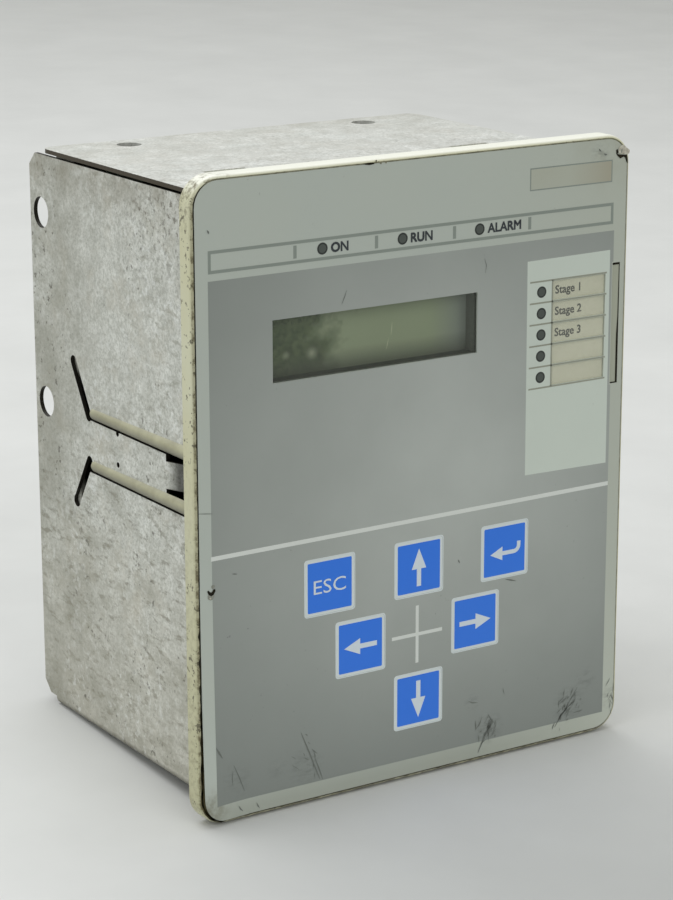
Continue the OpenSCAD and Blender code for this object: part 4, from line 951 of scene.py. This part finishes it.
wearLayer = 4  # above all the print
wearProud = wearLayer * inkStep
scratches = [[(-65.6, -65.4, 0.05), (-64.7, -67.0, 0.3), (-63.6, -68.8, 0.05)],
             [(-60.0, -71.6, 0.04), (-58.4, -75.2, 0.14), (-56.6, -79.8, 0.04)],
             [(-60.3, -73.2, 0.03), (-60.6, -75.4, 0.1), (-60.4, -77.4, 0.03)],
             [(-38.6, -66.8, 0.05), (-36.0, -73.0, 0.2), (-32.6, -81.6, 0.08)],
             [(-34.4, -74.5, 0.04), (-32.8, -78.6, 0.16), (-31.6, -82.0, 0.05)],
             [(-58.6, -83.6, 0.03), (-58.0, -84.6, 0.2), (-57.2, -85.5, 0.04)],
             [(-52.8, -84.0, 0.03), (-52.4, -85.0, 0.16), (-51.9, -85.8, 0.04)],
             [(-23.6, 54.0, 0.03), (-24.2, 52.4, 0.12), (-25.2, 50.3, 0.05)],
             [(-69.4, 0.0, 0.04), (-67.4, -0.3, 0.09), (-65.3, -0.6, 0.05)],
             [(-59.6, -18.0, 0.04), (-58.8, -18.15, 0.15), (-58.0, -18.3, 0.04)],
             [(59.3, 84.2, 0.05), (59.8, 83.7, 0.25), (60.2, 83.4, 0.05)],
             [(61.1, 82.7, 0.05), (61.7, 82.4, 0.25), (62.3, 82.3, 0.05)],
             [(20.9, 57.6, 0.03), (21.6, 55.6, 0.08), (21.2, 53.6, 0.03)],
             [(-65.6, 74.1, 0.05), (-65.3, 73.6, 0.25), (-65.1, 73.1, 0.05)],
             [(13.2, -26.6, 0.05), (13.4, -27.1, 0.2), (13.7, -27.6, 0.05)],
             [(29.4, -35.1, 0.04), (31.4, -35.7, 0.22), (33.3, -36.3, 0.04)],
             [(25.9, -76.2, 0.06), (23.2, -80.6, 0.32), (20.7, -85.4, 0.08)],
             [(24.2, -74.6, 0.04), (25.1, -76.2, 0.16), (26.0, -77.4, 0.05)],
             [(56.0, -72.6, 0.05), (52.6, -77.4, 0.14), (49.6, -81.6, 0.05)],
             [(53.4, -77.6, 0.05), (50.6, -79.8, 0.2), (48.0, -83.4, 0.06)],
             [(17.2, -69.2, 0.04), (18.6, -69.9, 0.18), (20.4, -70.2, 0.05)],
             [(29.2, -67.6, 0.03), (29.4, -68.6, 0.12), (29.8, -69.6, 0.03)]]
strokeSheet("film_scratches", scratches, wearProud, scuff)
for side, *how in (("lower_middle", 3, (24.6, -79.0), (2.0, 2.0), 26, 1.05),
                   ("lower_right", 5, (52.6, -78.2), (2.2, 2.0), 34, 0.95),
                   ("right_edge", 6, (68.2, -78.0), (0.7, 2.6), 8, 1.3),
                   ("lower_left", 8, (-38.0, -76.0), (3.0, 3.2), 10, -1.0)):
    strokeSheet("film_rubs_" + side, rubs(*how), wearProud, scuff)

# Struck dent at the left edge: painted shade in its cup, a pale chip under it and smudges round it
printLayer("film_struck_smudge", [circle(-65.4, -20.5, 0.55, 9)], wearLayer, dirt)
printLayer("film_struck_smudge_low", [circle(-66.1, -23.1, 1.0, 11)], wearLayer, dirt)
struckDentShade = [(-67.2, -21.5), (-66.8, -21.3), (-66.4, -21.8), (-66.0, -22.0), (-65.6, -21.7), (-65.3, -21.2),
              (-64.8, -21.2), (-64.7, -21.8), (-65.3, -22.7), (-66.0, -23.0), (-66.8, -22.5)]
printLayer("film_struck_dent_shade", [struckDentShade], wearLayer + 1, grime)
printLayer("film_struck_chip", [circle(-66.3, -23.6, 0.26, 9)], wearLayer + 1, chipped)

# Torn upper right corner: dark slits, and a crumpled rag of film beside them
tornSlit = [(65.4, 83.4), (65.9, 83.6), (66.2, 82.7), (65.9, 82.2), (66.9, 82.0), (68.3, 81.8), (69.2, 81.7),
            (69.5, 80.7), (69.6, 79.4), (69.2, 79.6), (68.7, 80.9), (68.1, 81.3), (67.0, 80.9), (66.0, 81.6),
            (65.5, 82.3)]
tornRag = [(66.3, 83.9), (67.3, 84.6), (68.2, 84.5), (69.2, 83.7), (70.2, 82.9), (70.0, 82.0), (69.0, 81.9),
           (67.6, 82.1), (66.4, 82.4)]
printLayer("film_torn_slit", [tornSlit], wearLayer, grime)
printLayer("film_torn_rag", [tornRag], wearLayer + 1, chipped)
printLayer("film_torn_fold", [[(66.9, 83.3), (67.6, 83.6), (67.5, 82.5), (67.1, 82.4)]], wearLayer + 2, dirt)

# Nick in the film's upper edge: a dark notch and crumbs beside it
nickNotch = [(-18.6, 86.75), (-16.9, 87.05), (-15.4, 86.95), (-14.9, 86.55), (-16.6, 86.4)]
nickCrumbs = ((-14.4, 87.3, 0.3), (-13.6, 87.0, 0.22), (-12.9, 86.6, 0.28), (-12.0, 87.0, 0.2),
              (-11.3, 86.6, 0.25))  # x, z and radius
printLayer("film_nick_notch", [nickNotch], wearLayer, grime)
for number, (x, z, size) in enumerate(nickCrumbs):
    printLayer("film_nick_crumb_%d" % number, [circle(x, z, size, 7)], wearLayer, joint)

# Score across the clear window
scoreProud = 0.02
windowFront = (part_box("display_window")[0].y - filmLow.y) * 1000
strokeSheet("window_scores", [[(-8.8, 43.6, 0.04), (-9.0, 41.6, 0.16), (-9.2, 39.9, 0.04)],
                              [(-9.9, 39.3, 0.03), (-10.3, 37.8, 0.13), (-10.7, 36.2, 0.03)]],
            scoreProud - windowFront, scored)
print("wear laid on")

# Camera at the photograph's angle, from a fit to the front's corners and the case edges
cameraFit = {"place": (-0.4003, -0.63405, 0.2856), "lens": 107.59,
             "right": (0.8413, -0.5406, -0.002), "up": (0.1428, 0.2185, 0.9653),
             "ahead": (0.5214, 0.8124, -0.261)}
cameraData = bpy.data.cameras.new("camera")
cameraData.lens = cameraFit["lens"]
cameraData.sensor_width = 36.0
camera = addObject("camera", cameraData)
axes = Matrix((cameraFit["right"], cameraFit["up"], [-v for v in cameraFit["ahead"]])).transposed()
camera.matrix_world = Matrix.Translation(cameraFit["place"]) @ axes.to_4x4()
scene.camera = camera

# The case stands on the frame's lower edge and on its own rear edge, so the floor is a little tilted to it
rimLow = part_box("front_frame")[0]
caseLow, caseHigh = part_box("case_wrap")
floorPlane = {"front": (rimBack, rimLow.z), "rear": (caseHigh.y - 0.012, caseLow.z), "half": 7.0,
              "gap": 0.0001}
(frontY, frontZ), (rearY, rearZ) = floorPlane["front"], floorPlane["rear"]
slope = math.atan2(rearZ - frontZ, rearY - frontY)
floorMesh = bpy.data.meshes.new("floor")
half = floorPlane["half"]
floorCorners = [(-half, -half, 0), (half, -half, 0), (half, half, 0), (-half, half, 0)]
floorMesh.from_pydata(floorCorners, [], [(0, 1, 2, 3)])
floorObject = addObject("floor", floorMesh)
floorObject.matrix_world = (Matrix.Translation((0.0, frontY, frontZ - floorPlane["gap"]))
                            @ Matrix.Rotation(slope, 4, "X"))
floorMaterial, tree = startMaterial("floor_board_pale_with_painted_shade", 0.55, specular=0.3)
tone = patches(tree, 60, 0.3, 0.75)
# painted shade: the floor darker towards the viewer, where the case's soft shadow falls
near = along(tree, "Y", -0.02, -0.19)
paint(tree, layOver(tree, near, layOver(tree, tone, "#ced0d0", "#d5d7d7"), "#969998"))
floorMesh.materials.append(floorMaterial)

# Soft studio light: a bright even room, a large panel overhead and weaker ones on the left and in front
world = bpy.data.worlds.new("studio")
scene.world = world
world.use_nodes = True
world.node_tree.nodes["Background"].inputs["Color"].default_value = linear("#f6f6ef")
world.node_tree.nodes["Background"].inputs["Strength"].default_value = 0.5
lightAim = Vector((0.0, 0.0, 0.08))
lightPanels = {"overhead": {"place": (-0.1, 0.45, 1.5), "size": 1.7, "power": 20.0},
               "left": {"place": (-1.6, 0.1, 0.9), "size": 1.2, "power": 5.0},
               "front": {"place": (0.3, -1.8, 1.0), "size": 1.2, "power": 7.9}}
for name, panel in lightPanels.items():
    lightData = bpy.data.lights.new(name, "AREA")
    lightData.size = panel["size"]
    lightData.energy = panel["power"]
    light = addObject(name, lightData)
    aim = lightAim - Vector(panel["place"])
    turn = aim.to_track_quat("-Z", "Y").to_matrix().to_4x4()
    light.matrix_world = Matrix.Translation(panel["place"]) @ turn
print("camera, floor and light set")
